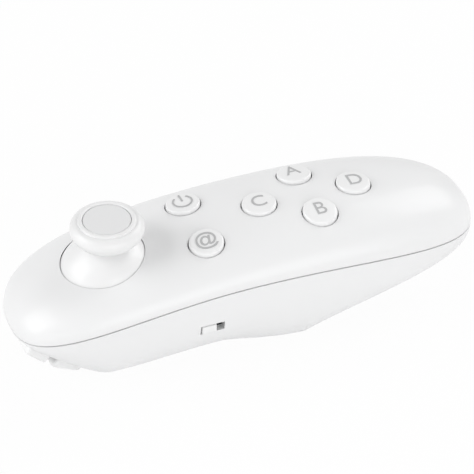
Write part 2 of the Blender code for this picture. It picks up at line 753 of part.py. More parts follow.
def make_main_board(green, shield, black):
    bm = bmesh.new()
    half = MAIN_BOARD_WIDTH / 2
    add_plate(bm, MAIN_BOARD_FRONT_X, MAIN_BOARD_REAR_X, half, BOARD_CORNER, MAIN_BOARD_Z, MAIN_BOARD_TOP_Z)
    board = add_object("main_board", bm, green)
    ears = bmesh.new()
    holes = bmesh.new()
    low, high = MAIN_BOARD_Z - WALL, MAIN_BOARD_TOP_Z + WALL
    for x, y in main_screw_places().values():
        add_cylinder(ears, (x, y, 0), SMALL_BOSS_RADIUS, MAIN_BOARD_Z, MAIN_BOARD_TOP_Z)
        add_cylinder(holes, (x, y, 0), SMALL_SHANK_RADIUS + FIT_GAP, low, high)
    notch = (SWITCH_KNOB_LENGTH + SWITCH_TRAVEL) / 2 + SWITCH_FLANGE + FIT_GAP
    deep = switch_inner_y() + SWITCH_FLANGE_THICKNESS + FIT_GAP
    add_box(holes, (SWITCH_X - notch, -BODY_WIDTH, low), (SWITCH_X + notch, deep, high))
    combine(board, add_object("main_board_ears", ears, None), "UNION")
    combine(board, add_object("main_board_holes", holes, None), "DIFFERENCE")
    radio = bmesh.new()
    foot = MAIN_BOARD_TOP_Z + FIT_GAP
    low = (RADIO_X - RADIO_LENGTH / 2, -RADIO_WIDTH / 2, foot)
    add_box(radio, low, (RADIO_X + RADIO_LENGTH / 2, RADIO_WIDTH / 2, foot + RADIO_HEIGHT))
    add_object("radio_module", radio, shield)
    header = bmesh.new()
    low = (HEADER_X - HEADER_LENGTH / 2, HEADER_Y - HEADER_WIDTH / 2, foot)
    high = (HEADER_X + HEADER_LENGTH / 2, HEADER_Y + HEADER_WIDTH / 2, KEY_BOARD_Z - FIT_GAP)
    add_box(header, low, high)
    add_object("board_header", header, black)


def make_key_board(green, silicone):
    bm = bmesh.new()
    half = KEY_BOARD_WIDTH / 2
    add_plate(bm, KEY_BOARD_FRONT_X, KEY_BOARD_REAR_X, half, BOARD_CORNER, KEY_BOARD_Z, KEY_BOARD_TOP_Z)
    board = add_object("key_board", bm, green)
    holes = bmesh.new()
    clear = bmesh.new()
    for x, y in KEY_BOARD_SCREWS.values():
        through = KEY_BOARD_Z - WALL, KEY_BOARD_TOP_Z + WALL
        add_cylinder(holes, (x, y, 0), SMALL_SHANK_RADIUS + FIT_GAP, *through)
        add_cylinder(clear, (x, y, 0), SMALL_BOSS_RADIUS + FIT_GAP, KEY_BOARD_TOP_Z, DOME_TOP_Z + WALL)
    combine(board, add_object("key_board_holes", holes, None), "DIFFERENCE")
    sheet_x = [x for x, _ in KEYS.values()]
    half = max(y for _, y in KEYS.values()) + PAD_MARGIN
    foot = KEY_BOARD_TOP_Z + FIT_GAP
    sheet = bmesh.new()
    low_x, high_x = min(sheet_x) - PAD_MARGIN, max(sheet_x) + PAD_MARGIN
    add_plate(sheet, low_x, high_x, half, PAD_MARGIN, foot, foot + PAD_THICKNESS)
    pad = add_object("key_pad", sheet, silicone)
    domes = bmesh.new()
    for x, y in KEYS.values():
        root = foot + PAD_THICKNESS / 2
        cone = [(0, root), (DOME_RADIUS, root), (DOME_TOP_RADIUS, DOME_TOP_Z), (0, DOME_TOP_Z)]
        add_turned(domes, cone, SMALL_ROUND_STEPS, (x, y, 0))
    combine(pad, add_object("key_domes", domes, None), "UNION")
    combine(pad, add_object("key_pad_holes", clear, None), "DIFFERENCE")


def key_flange_top(x, y):
    """Under the lowest place of the shell's inner surface over the key's flange."""
    reach = KEY_HOLE_RADIUS + KEY_FLANGE_WIDTH
    heights = []
    for k in range(SMALL_ROUND_STEPS):
        angle = 2 * math.pi * k / SMALL_ROUND_STEPS
        heights.append(top_z(x + reach * math.cos(angle), y + reach * math.sin(angle), WALL))
    return min(heights) - FIT_GAP


def make_keys(finish):
    """Flanged round keys that slide straight down, with faces that follow the top surface."""
    step = KEY_RADIUS / 10
    for name, (x, y) in KEYS.items():
        face = top_z(x, y) + KEY_PROUD
        slope_x = (top_z(x + step, y) - top_z(x - step, y)) / (2 * step)
        slope_y = (top_z(x, y + step) - top_z(x, y - step)) / (2 * step)
        flange = key_flange_top(x, y)
        flange_radius = KEY_HOLE_RADIUS + KEY_FLANGE_WIDTH
        stem = DOME_TOP_Z + FIT_GAP
        profile = [
            (0, stem),
            (KEY_STEM_RADIUS, stem),
            (KEY_STEM_RADIUS, flange - KEY_FLANGE_THICKNESS),
            (flange_radius, flange - KEY_FLANGE_THICKNESS),
            (flange_radius, flange),
            (KEY_RADIUS, flange),
            (KEY_RADIUS, face - KEY_EDGE),
            (KEY_RADIUS - KEY_EDGE * ROUND_MIDDLE, face - KEY_EDGE * ROUND_MIDDLE),
            (KEY_RADIUS - KEY_EDGE, face),
            (0, face),
        ]
        bm = bmesh.new()
        add_turned(bm, profile, ROUND_STEPS, (x, y, 0))
        for vert in bm.verts:
            if vert.co.z > flange + KEY_EDGE:
                vert.co.z += slope_x * (vert.co.x - x) + slope_y * (vert.co.y - y)
        add_object(name, bm, finish, origin=(x, y, face))


def cap_profile():
    """Half section of the stick cap: pad recess, ring, shoulder, bowl, ball skirt and hub."""
    top = HEM_ABOVE_PIVOT + CAP_TOP
    flange_z = HEM_ABOVE_PIVOT + FLANGE_RISE
    ring_foot = top - RING_STEP
    neck_z = math.sqrt(BALL_RADIUS ** 2 - NECK_RADIUS ** 2)
    profile = [
        (0, top - PAD_RECESS),
        (PAD_RADIUS + FIT_GAP, top - PAD_RECESS),
        (PAD_RADIUS + FIT_GAP, top - PAD_SINK),
        (PAD_RADIUS + 2 * FIT_GAP, top),
        (RING_RADIUS - FIT_GAP, top),
    ]
    for k in range(CAP_ARC_STEPS + 1):
        angle = k / CAP_ARC_STEPS * math.pi / 2
        across = RING_RADIUS + (FLANGE_RADIUS - RING_RADIUS) * math.sin(angle)
        profile.append((across, flange_z + (ring_foot - flange_z) * math.cos(angle)))
    for k in range(1, CAP_ARC_STEPS):
        angle = k / CAP_ARC_STEPS * math.pi / 2
        across = NECK_RADIUS + (FLANGE_RADIUS - NECK_RADIUS) * math.cos(angle) ** (2 / BOWL_POWER)
        profile.append((across, flange_z + (neck_z - flange_z) * math.sin(angle) ** (2 / BOWL_POWER)))
    first = math.asin(NECK_RADIUS / BALL_RADIUS)
    last = math.radians(SKIRT_REACH_DEG)
    turns = [first + (last - first) * k / SKIRT_STEPS for k in range(SKIRT_STEPS + 1)]
    inside = BALL_RADIUS - SKIRT_WALL
    profile += [(BALL_RADIUS * math.sin(turn), BALL_RADIUS * math.cos(turn)) for turn in turns]
    profile += [(inside * math.sin(turn), inside * math.cos(turn)) for turn in reversed(turns)]
    ceiling = inside * math.cos(first)
    bore = SHAFT_RADIUS + FIT_GAP
    bore_top = SHAFT_TOP + FIT_GAP
    hub = [(HUB_RADIUS, ceiling), (HUB_RADIUS, ceiling - HUB_DROP), (bore, ceiling - HUB_DROP)]
    return profile + hub + [(bore, bore_top), (0, bore_top)]


def make_stick(white, grip, steel):
    bm = bmesh.new()
    add_turned(bm, cap_profile(), 2 * SMALL_ROUND_STEPS, PIVOT)
    add_object("stick_cap", bm, white, origin=PIVOT)
    pad = bmesh.new()
    floor = HEM_ABOVE_PIVOT + CAP_TOP - PAD_RECESS + FIT_GAP
    face = HEM_ABOVE_PIVOT + CAP_TOP - PAD_SINK
    add_cylinder(pad, PIVOT, PAD_RADIUS, floor, face, steps=2 * SMALL_ROUND_STEPS)
    add_object("stick_pad", pad, grip, origin=PIVOT)
    shaft = bmesh.new()
    eye = YOKE_HEIGHT / 2
    profile = [
        (0, SHAFT_TOP),
        (SHAFT_RADIUS, SHAFT_TOP),
        (SHAFT_RADIUS, eye + FIT_GAP),
        (SHAFT_EYE_RADIUS, eye),
        (SHAFT_EYE_RADIUS, -FOOT_DROP),
        (FOOT_RADIUS, -FOOT_DROP),
        (FOOT_RADIUS, -FOOT_DROP - FOOT_THICKNESS),
        (0, -FOOT_DROP - FOOT_THICKNESS),
    ]
    add_turned(shaft, profile, SMALL_ROUND_STEPS, PIVOT)
    stick = add_object("stick_shaft", shaft, steel, origin=PIVOT)
    hole = bmesh.new()
    add_cylinder(hole, PIVOT, GIMBAL_PIN_RADIUS + PIN_GAP, -2 * FOOT_RADIUS, 2 * FOOT_RADIUS, "Y")
    combine(stick, add_object("shaft_eye", hole, None), "DIFFERENCE")


def yoke_half_width():
    return SHAFT_EYE_RADIUS + FIT_GAP + YOKE_WALL


def make_gimbal(black, steel):
    """Square housing, a yoke that tilts about X, a cross arch that tilts about Y, and their sensors."""
    reach = HOUSING_SIDE / 2
    inner = reach - HOUSING_WALL
    board = MAIN_BOARD_TOP_Z + FIT_GAP
    walls = bmesh.new()
    add_box(walls, (STICK_X - reach, -reach, board), (STICK_X + reach, reach, PIVOT.z + HOUSING_TOP))
    housing = add_object("gimbal_housing", walls, black)
    hollow = bmesh.new()
    low = (STICK_X - inner, -inner, board - WALL)
    add_box(hollow, low, (STICK_X + inner, inner, PIVOT.z + 2 * HOUSING_TOP))
    combine(housing, add_object("housing_hollow", hollow, None), "DIFFERENCE")
    for axis in "XY":
        bearing = bmesh.new()
        add_cylinder(bearing, PIVOT, TRUNNION_RADIUS + FIT_GAP, -HOUSING_SIDE, HOUSING_SIDE, axis)
        combine(housing, add_object(f"housing_bearing_{axis}", bearing, None), "DIFFERENCE")

    frame = bmesh.new()
    half_x, half_y, half_z = YOKE_LENGTH / 2, yoke_half_width(), YOKE_HEIGHT / 2
    add_box(frame, PIVOT - Vector((half_x, half_y, half_z)), PIVOT + Vector((half_x, half_y, half_z)))
    yoke = add_object("gimbal_yoke", frame, black, origin=PIVOT)
    slot = bmesh.new()
    slot_half = Vector((half_x - YOKE_WALL, half_y - YOKE_WALL, 2 * half_z))
    add_box(slot, PIVOT - slot_half, PIVOT + slot_half)
    eyes = bmesh.new()
    add_cylinder(eyes, PIVOT, GIMBAL_PIN_RADIUS + PIN_GAP, -2 * half_y, 2 * half_y, "Y")
    trunnions = bmesh.new()
    add_cylinder(trunnions, PIVOT, TRUNNION_RADIUS, half_x - YOKE_WALL / 2, reach, "X")
    add_cylinder(trunnions, PIVOT, TRUNNION_RADIUS, -reach, -half_x + YOKE_WALL / 2, "X")
    combine(yoke, add_object("yoke_slot", slot, None), "DIFFERENCE")
    combine(yoke, add_object("yoke_eyes", eyes, None), "DIFFERENCE")
    combine(yoke, add_object("yoke_trunnions", trunnions, None), "UNION")
    pin = bmesh.new()
    add_cylinder(pin, PIVOT, GIMBAL_PIN_RADIUS, -half_y, half_y, "Y")
    add_object("gimbal_pin", pin, steel, origin=PIVOT)

    leg = inner - FIT_GAP
    band = bmesh.new()
    low = PIVOT + Vector((-ARCH_WIDTH / 2, -leg, -TRUNNION_RADIUS - FIT_GAP))
    high = PIVOT + Vector((ARCH_WIDTH / 2, leg, ARCH_RISE + ARCH_THICKNESS))
    add_box(band, low, high)
    arch = add_object("gimbal_arch", band, black, origin=PIVOT)
    gap = bmesh.new()
    under = leg - ARCH_THICKNESS
    low = PIVOT + Vector((-ARCH_WIDTH, -under, -ARCH_RISE))
    add_box(gap, low, PIVOT + Vector((ARCH_WIDTH, under, ARCH_RISE)))
    slot_x = SHAFT_RADIUS + FIT_GAP
    slot_y = ARCH_SLOT_LENGTH / 2
    low = PIVOT + Vector((-slot_x, -slot_y, ARCH_RISE - ARCH_THICKNESS))
    window = bmesh.new()
    add_box(window, low, PIVOT + Vector((slot_x, slot_y, 2 * ARCH_RISE)))
    stubs = bmesh.new()
    add_cylinder(stubs, PIVOT, TRUNNION_RADIUS, leg - ARCH_THICKNESS / 2, reach, "Y")
    add_cylinder(stubs, PIVOT, TRUNNION_RADIUS, -reach, -leg + ARCH_THICKNESS / 2, "Y")
    combine(arch, add_object("arch_gap", gap, None), "DIFFERENCE")
    combine(arch, add_object("arch_slot", window, None), "DIFFERENCE")
    combine(arch, add_object("arch_trunnions", stubs, None), "UNION")

    near = reach + FIT_GAP
    tall = POT_HEIGHT / 2
    wide = POT_WIDTH / 2
    sensors = {
        "gimbal_sensor_x": (Vector((near, -wide, -tall)), Vector((near + POT_DEPTH, wide, tall))),
        "gimbal_sensor_y": (Vector((-wide, near, -tall)), Vector((wide, near + POT_DEPTH, tall))),
    }
    for name, (low, high) in sensors.items():
        bm = bmesh.new()
        add_box(bm, PIVOT + low, PIVOT + high)
        add_object(name, bm, black)

    coil = bmesh.new()
    foot = PIVOT.z - FOOT_DROP - FOOT_THICKNESS - FIT_GAP
    line = add_helix(
        coil, (STICK_X, 0, board), (0, 0, 1), foot - board, CENTRING_SPRING_RADIUS,
        CENTRING_SPRING_RADIUS, CENTRING_SPRING_TURNS, CENTRING_WIRE_RADIUS,
    )
    add_object("centring_spring", coil, steel)
    print(f"centring_spring: least gap to itself {least_gap(line, CENTRING_WIRE_RADIUS) * 1000:.2f} mm")


def chin_place():
    """Frame of the chin: first axis down its slope, third axis into the body."""
    front = Vector((CHIN_FRONT_X, 0, belly_z(CHIN_FRONT_X, 0)))
    rear = Vector((CHIN_REAR_X, 0, belly_z(CHIN_REAR_X, 0)))
    down = (rear - front).normalized()
    across = Vector((0, 1, 0))
    place = Matrix((down, across, down.cross(across))).transposed().to_4x4()
    place.translation = front
    return place


def chin_inner_level(first, last, half):
    """How far into the body the chin's inner wall reaches within a stretch of its slope."""
    place = chin_place()
    back = place.inverted()
    levels = []
    for k in range(SEARCH_STEPS + 1):
        along = first + (last - first) * k / SEARCH_STEPS
        for y in (0.0, half / 2, half):
            x = (place @ Vector((along, y, WALL))).x
            levels.append((back @ Vector((x, y, belly_z(x, y, WALL)))).z)
    return max(levels)


def trigger_span():
    """Where the rims of the triggers begin and end, down the chin."""
    starts = [start for start, *_ in TRIGGERS.values()]
    ends = [start + length for start, length, *_ in TRIGGERS.values()]
    return min(starts) - TRIGGER_RIM, max(ends) + TRIGGER_RIM


def trigger_plate_level():
    return chin_inner_level(*trigger_span(), TRIGGER_WIDTH / 2 + TRIGGER_RIM) + FIT_GAP


def make_triggers(white, silicone, green, black):
    place = chin_place()
    level = trigger_plate_level()
    side = TRIGGER_WIDTH / 2
    for name, (start, length, first_proud, last_proud) in TRIGGERS.items():
        end = start + length
        bm = bmesh.new()
        add_box(bm, (start, -side, -first_proud), (end, side, level + TRIGGER_PLATE / 2))
        for vert in bm.verts:
            if vert.co.z < 0 and vert.co.x > start + length / 2:
                vert.co.z = -last_proud
        face = [edge for edge in bm.edges if sum(v.co.z < 0 for v in edge.verts) == 2]
        bmesh.ops.bevel(bm, geom=face, offset=TRIGGER_EDGE, segments=2, profile=0.5, affect="EDGES")
        key = add_object(name, bm, white, place=place)
        plate = bmesh.new()
        rim = side + TRIGGER_RIM
        low = (start - TRIGGER_RIM, -rim, level)
        add_box(plate, low, (end + TRIGGER_RIM, rim, level + TRIGGER_PLATE))
        combine(key, add_object(f"{name}_plate", plate, None, place=place), "UNION")

    low_s, high_s = trigger_span()
    dome_top = level + TRIGGER_PLATE + FIT_GAP
    pad_face = dome_top + TRIGGER_DOME_HEIGHT
    pad_back = pad_face + TRIGGER_PAD_THICKNESS
    sheet = bmesh.new()
    add_box(sheet, (low_s, -side, pad_face), (high_s, side, pad_back))
    pad = add_object("trigger_pad", sheet, silicone, place=place)
    domes = bmesh.new()
    for start, length, *_ in TRIGGERS.values():
        middle = start + length / 2
        root = pad_face + TRIGGER_PAD_THICKNESS / 2
        tip = TRIGGER_DOME_RADIUS - TRIGGER_PAD_THICKNESS
        cone = [(0, root), (TRIGGER_DOME_RADIUS, root), (tip, dome_top), (0, dome_top)]
        add_turned(domes, cone, SMALL_ROUND_STEPS, (middle, 0, 0))
    combine(pad, add_object("trigger_domes", domes, None, place=place), "UNION")
    board_face = pad_back + FIT_GAP
    board_back = board_face + TRIGGER_BOARD_THICKNESS
    board = bmesh.new()
    add_box(board, (low_s, -side, board_face), (high_s, side, board_back))
    add_object("trigger_board", board, green, place=place)

    back = board_back + FIT_GAP
    front_end, rear_end = low_s - FIT_GAP, high_s + FIT_GAP
    half = BRACKET_WIDTH / 2
    foot = chin_inner_level(front_end - BRACKET_WALL, rear_end + BRACKET_WALL, half) + 2 * FIT_GAP
    block = bmesh.new()
    high = (rear_end + BRACKET_WALL, half, back + BRACKET_WALL)
    add_box(block, (front_end - BRACKET_WALL, -half, foot), high)
    bracket = add_object("trigger_bracket", block, black, place=place)
    channel = bmesh.new()
    add_box(channel, (front_end, -half - WALL, foot - WALL), (rear_end, half + WALL, back))
    combine(bracket, add_object("bracket_channel", channel, None, place=place), "DIFFERENCE")


def side_wall_y(x, z, inset=0.0):
    """Right side wall of the lower shell, at a place along the body and a height."""
    base = seam_z(x)
    drop = (base - z) / lower_depth(x, base, inset)
    return -half_width(x, inset) * (1 - drop ** LOWER_UPRIGHT_POWER) ** (1 / lower_power(x))


def switch_inner_y():
    """Just inside the side wall, clear of it all along the slide of the knob's flange."""
    reach = (SWITCH_KNOB_LENGTH + SWITCH_TRAVEL) / 2 + SWITCH_FLANGE
    low = SWITCH_Z - SWITCH_KNOB_HEIGHT / 2
    return max(side_wall_y(SWITCH_X + side * reach, low, WALL) for side in (-1, 1)) + FIT_GAP


def make_switch(white, black):
    wall = side_wall_y(SWITCH_X, SWITCH_Z)
    inside = switch_inner_y()
    centre = SWITCH_X - SWITCH_TRAVEL / 2
    half = SWITCH_KNOB_LENGTH / 2
    rise = SWITCH_KNOB_HEIGHT / 2
    flange_back = inside + SWITCH_FLANGE_THICKNESS
    bm = bmesh.new()
    low = (centre - half, wall - SWITCH_PROUD, SWITCH_Z - rise)
    add_box(bm, low, (centre + half, inside + SWITCH_FLANGE_THICKNESS / 2, SWITCH_Z + rise))
    knob = add_object("mode_knob", bm, white, origin=(centre, wall, SWITCH_Z))
    flange = bmesh.new()
    low = (centre - half - SWITCH_FLANGE, inside, SWITCH_Z - rise)
    add_box(flange, low, (centre + half + SWITCH_FLANGE, flange_back, SWITCH_Z + rise))
    combine(knob, add_object("mode_knob_flange", flange, None), "UNION")
    body = bmesh.new()
    top = MAIN_BOARD_Z - FIT_GAP
    low = (SWITCH_X - SWITCH_BODY_LENGTH / 2, flange_back + FIT_GAP, top - SWITCH_BODY_HEIGHT)
    deep = -BAY_WIDTH / 2 - BAY_WALL - FIT_GAP
    add_box(body, low, (SWITCH_X + SWITCH_BODY_LENGTH / 2, deep, top))
    add_object("mode_switch", body, black)


def make_screw(name, x, y, seat, sense, length, head_radius, head_height, shank_radius, steel):
    """A pan head screw. Its shank runs from the seat in the sense given, its head the other way."""
    head = seat - sense * (FIT_GAP + head_height)
    under = seat - sense * FIT_GAP
    profile = [
        (0, head + sense * head_height / 2),
        (SCREW_SOCKET_RADIUS, head + sense * head_height / 2),
        (SCREW_SOCKET_RADIUS, head),
        (head_radius, head),
        (head_radius, under),
        (shank_radius, under),
        (shank_radius, seat + sense * length),
        (0, seat + sense * length),
    ]
    bm = bmesh.new()
    add_turned(bm, profile, SMALL_ROUND_STEPS - 2, (x, y, 0))
    add_object(name, bm, steel)


def make_screws(steel):
    case = (CASE_HEAD_RADIUS, CASE_HEAD_HEIGHT, CASE_SHANK_RADIUS, steel)
    small = (SMALL_HEAD_RADIUS, SMALL_HEAD_HEIGHT, SMALL_SHANK_RADIUS, steel)
    for name, (x, y) in CASE_SCREWS.items():
        seat = case_screw_seat(x, y)
        length = boss_ends(x)[1] + CASE_SCREW_BITE - seat
        make_screw(name, x, y, seat, 1, length, *case)
    for name, (x, y) in KEY_BOARD_SCREWS.items():
        make_screw(name, x, y, KEY_BOARD_Z, 1, BOARD_THICKNESS + SMALL_SCREW_BITE, *small)
    for name, (x, y) in main_screw_places().items():
        make_screw(name, x, y, MAIN_BOARD_TOP_Z, -1, BOARD_THICKNESS + SMALL_SCREW_BITE, *small)


def main():
    clear_scene()
    white = material("white_shell", (0.86, 0.86, 0.87), 0.35)
    white_key = material("white_key", (0.84, 0.84, 0.85), 0.30)
    grip = material("grey_grip", (0.76, 0.76, 0.77), 0.55)
    black = material("black_plastic", (0.03, 0.03, 0.035), 0.45)
    green = material("green_board", (0.02, 0.16, 0.07), 0.40)
    silicone = material("grey_silicone", (0.35, 0.35, 0.36), 0.60)
    steel = material("plated_steel", (0.62, 0.62, 0.63), 0.25, 1.0)
    shield = material("tinned_shield", (0.70, 0.70, 0.68), 0.35, 1.0)
    jacket = material("cell_jacket", (0.10, 0.11, 0.13), 0.35)
    make_top_shell(white)
    make_bottom_shell(white)
    make_battery_door(white)
    make_battery_bay(black)
    make_cells(jacket, steel)
    make_contacts(steel)
    make_main_board(green, shield, black)
    make_key_board(green, silicone)
    make_keys(white_key)
    make_stick(white_key, grip, steel)
    make_gimbal(black, steel)
    make_triggers(white_key, silicone, green, black)
    make_switch(white_key, black)
    make_screws(steel)


main()
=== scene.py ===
import json
import math
import bmesh
import bpy
import numpy as np
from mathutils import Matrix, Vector


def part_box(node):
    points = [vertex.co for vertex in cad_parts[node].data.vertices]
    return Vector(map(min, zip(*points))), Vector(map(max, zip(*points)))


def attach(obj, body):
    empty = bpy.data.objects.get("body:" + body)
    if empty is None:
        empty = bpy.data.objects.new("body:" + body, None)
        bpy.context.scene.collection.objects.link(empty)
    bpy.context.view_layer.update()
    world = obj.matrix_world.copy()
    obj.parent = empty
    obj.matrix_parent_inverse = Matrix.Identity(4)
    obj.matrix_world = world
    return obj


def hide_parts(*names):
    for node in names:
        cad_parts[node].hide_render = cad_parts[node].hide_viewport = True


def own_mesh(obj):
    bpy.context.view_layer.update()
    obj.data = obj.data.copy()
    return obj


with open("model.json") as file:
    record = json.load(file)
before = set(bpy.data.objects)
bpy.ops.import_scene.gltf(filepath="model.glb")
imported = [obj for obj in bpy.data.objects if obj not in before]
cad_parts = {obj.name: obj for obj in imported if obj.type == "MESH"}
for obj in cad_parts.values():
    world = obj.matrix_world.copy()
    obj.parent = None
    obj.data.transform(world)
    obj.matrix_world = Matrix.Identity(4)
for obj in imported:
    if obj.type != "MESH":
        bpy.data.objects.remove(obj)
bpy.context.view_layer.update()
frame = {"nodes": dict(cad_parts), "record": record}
print("frame loaded:", len(frame["nodes"]), "nodes")

# body form, in metres, the same values as the solids have
body = {
    "length": 0.124, "width": 0.040, "widestX": -0.009,
    "frontPlan": (4.0, 2.75), "rearPlan": (4.25, 2.45),
    "seamPeak": (-0.003, 0.0245), "seamRadii": (0.175, 0.290),
    "crest": (0.0155, 0.0335), "crestRadii": (0.312, 0.245),
    "frontEnd": (6.0, 2.0), "rearEnd": (6.3, 2.5),
    "bellyX": (-0.0405, 0.0116), "bellyPress": 0.0005, "chinPower": 1.4, "tailPowers": (0.8, 1.9),
    "topPowers": (2.75, 2.12), "lowerUpright": 2.9, "lowerPowers": (2.8, 2.1, 5.2),
    "lowerX": (-0.044, -0.012, 0.013),
    "wall": 0.0018, "seamGap": 0.0004, "topStep": 0.0009, "stepRise": 0.0015,
    "lipStep": 0.0012, "lipHeight": 0.0012,
    "stations": 84, "sectionSteps": 72, "innerSteps": 36,
}
halfLength = body["length"] / 2


# distance from the widest place as a share, 0 there and 1 at the nose or tail
def endShare(x, inset):
    reach = halfLength - inset
    wide = body["widestX"]
    return np.clip(np.where(x < wide, (wide - x) / (wide + reach), (x - wide) / (reach - wide)), 0, 1)


# rounding towards both ends: (1 - share^p)^(1/q), with other powers behind the widest place
def endRound(x, inset, frontPowers, rearPowers):
    share = endShare(x, inset)
    (fp, fq), (rp, rq) = frontPowers, rearPowers
    front = np.clip(1 - share ** fp, 0, 1) ** (1 / fq)
    rear = np.clip(1 - share ** rp, 0, 1) ** (1 / rq)
    return np.where(x < body["widestX"], front, rear)


# arch: two parabolas, peak - distance^2 / (2 radius), that meet level at the peak
def arch(x, peak, radii):
    peakX, peakZ = peak
    radius = np.where(x < peakX, *radii)
    return peakZ - (x - peakX) ** 2 / (2 * radius)


# plan outline: half the width times the rounding
def halfWidth(x, inset=0.0):
    return (body["width"] / 2 - inset) * endRound(x, inset, body["frontPlan"], body["rearPlan"])


# parting line, one arch from nose to tail
def seamHeight(x):
    return arch(x, body["seamPeak"], body["seamRadii"])


# crest above the seam: its own arch less the seam, times the rounding
def topRise(x, base, inset=0.0):
    rise = arch(x, body["crest"], body["crestRadii"]) - inset - base
    return rise * endRound(x, inset, body["frontEnd"], body["rearEnd"])


# belly below the seam: full depth in the middle, 1 - share^p of it along the chin in front,
# and (1 - share^p)^(1/q) of it along the taper behind
def lowerDepth(x, base, inset=0.0):
    reach = halfLength - inset
    x1, x2 = body["bellyX"]
    chin = 1 - np.clip((x1 - x) / (x1 + reach), 0, 1) ** body["chinPower"]
    tp, tq = body["tailPowers"]
    tail = np.clip(1 - np.clip((x - x2) / (reach - x2), 0, 1) ** tp, 0, 1) ** (1 / tq)
    return (base + body["bellyPress"] - inset) * np.where(x < x1, chin, np.where(x > x2, tail, 1.0))


# smooth step from 0 to 1 between two places: 3 s^2 - 2 s^3
def ease(x, start, end):
    share = np.clip((x - start) / (end - start), 0, 1)
    return share * share * (3 - 2 * share)


# sideways power below the seam, eased between three places: rounder at the finger waist,
# squarer towards the tail
def lowerPower(x):
    fullFront, waist, fullRear = body["lowerX"]
    a, b, c = body["lowerPowers"]
    return a + (b - a) * ease(x, fullFront, waist) + (c - b) * ease(x, waist, fullRear)


# height of the top surface over a point of the plan: the seam plus the rise times (1 - across^m)^(1/n)
def topHeight(x, y, inset=0.0):
    m, n = body["topPowers"]
    across = np.clip(np.abs(y) / halfWidth(x, inset), 0, 1)
    base = seamHeight(x)
    return base + topRise(x, base, inset) * (1 - across ** m) ** (1 / n)


# stations from nose to tail, closer together towards the ends: share = 1 - t^2
def stationX(inset):
    t = np.linspace(0, 1, body["stations"] + 1)
    reach = halfLength - inset
    wide = body["widestX"]
    front = wide - (1 - t ** 2) * (wide + reach)
    rear = wide + (1 - t[:-1] ** 2) * (reach - wide)
    return np.concatenate([front, rear[::-1]])


# shell wall as one closed loop per station: outer arc, rim steps, inner arc, rim steps.
# each column has its own inset, rise above the seam and section angle, and each arc is a superellipse:
# half width times cosine^(2/m), height times sine^(2/n)
def shellGrid(upper):
    outer = np.linspace(0, np.pi, body["sectionSteps"] + 1)
    inner = np.linspace(np.pi, 0, body["innerSteps"] + 1)
    gap = body["seamGap"] / 2
    if upper:
        rim = [(body["topStep"], gap), (body["topStep"], body["stepRise"])]
        rise = body["stepRise"]
        outerRise = gap
    else:
        lip = body["lipHeight"]
        rim = [(body["lipStep"], -gap), (body["lipStep"], lip), (body["wall"], lip)]
        rise = -gap
        outerRise = -gap
    rimIn = np.array([r[0] for r in rim])
    rimUp = np.array([r[1] for r in rim])
    inset = np.concatenate([0 * outer, rimIn, 0 * inner + body["wall"], rimIn[::-1]])
    lift = np.concatenate([0 * outer + outerRise, rimUp, 0 * inner + rise, rimUp[::-1]])
    angle = np.concatenate([outer, 0 * rimIn + np.pi, inner, 0 * rimIn])
    x = np.stack([stationX(i) for i in np.unique(inset)])[np.searchsorted(np.unique(inset), inset)].T
    side = halfWidth(x, inset)
    side[0] = side[-1] = 0
    base = seamHeight(x) + lift
    cosine = np.cos(angle) * np.ones_like(x)
    sine = np.clip(np.sin(angle), 0, 1) * np.ones_like(x)
    if upper:
        m, n = body["topPowers"]
        z = base + topRise(x, base, inset) * sine ** (2 / n)
    else:
        m, n = lowerPower(x), body["lowerUpright"]
        z = np.maximum(base - lowerDepth(x, base, inset) * sine ** (2 / n), inset)
    y = side * np.sign(cosine) * np.abs(cosine) ** (2 / m)
    return np.stack([x, y, z], axis=-1)


weld = {"merge": 1e-7, "sliver": 1e-8}


# mesh from a grid of points (rows, columns, 3): each row closes on itself,
# and the end rows get a face where asked
def gridMesh(name, grid, capEnds=False):
    rows, columns = grid.shape[:2]
    index = np.arange(rows * columns).reshape(rows, columns)
    following = np.roll(index, -1, axis=1)
    quads = np.stack([index[:-1], following[:-1], following[1:], index[1:]], axis=-1).reshape(-1, 4)
    faces = quads.tolist()
    if capEnds:
        faces += [index[0].tolist(), index[-1].tolist()]
    mesh = bpy.data.meshes.new(name)
    mesh.from_pydata(grid.reshape(-1, 3).tolist(), [], faces)
    bm = bmesh.new()
    bm.from_mesh(mesh)
    bmesh.ops.remove_doubles(bm, verts=bm.verts, dist=weld["merge"])
    bmesh.ops.dissolve_degenerate(bm, edges=bm.edges, dist=weld["sliver"])
    bmesh.ops.recalc_face_normals(bm, faces=bm.faces)
    bm.to_mesh(mesh)
    bm.free()
    piece = bpy.data.objects.new(name, mesh)
    bpy.context.scene.collection.objects.link(piece)
    return piece


# solid of revolution: a profile of radius and height, times cosine and sine round the Z axis at a centre
def turned(name, profile, steps, centre=(0, 0, 0)):
    profile = np.asarray(profile, float)
    angle = np.linspace(0, 2 * np.pi, steps, endpoint=False)
    radius, height = profile[:, :1], profile[:, 1:]
    x = centre[0] + radius * np.cos(angle)
    y = centre[1] + radius * np.sin(angle)
    z = centre[2] + height + 0 * angle
    return gridMesh(name, np.stack([x, y, z], axis=-1))


# upright cylinder between two heights above a centre
def cylinder(name, radius, low, high, steps, centre):
    return turned(name, [(0, low), (radius, low), (radius, high), (0, high)], steps, centre)


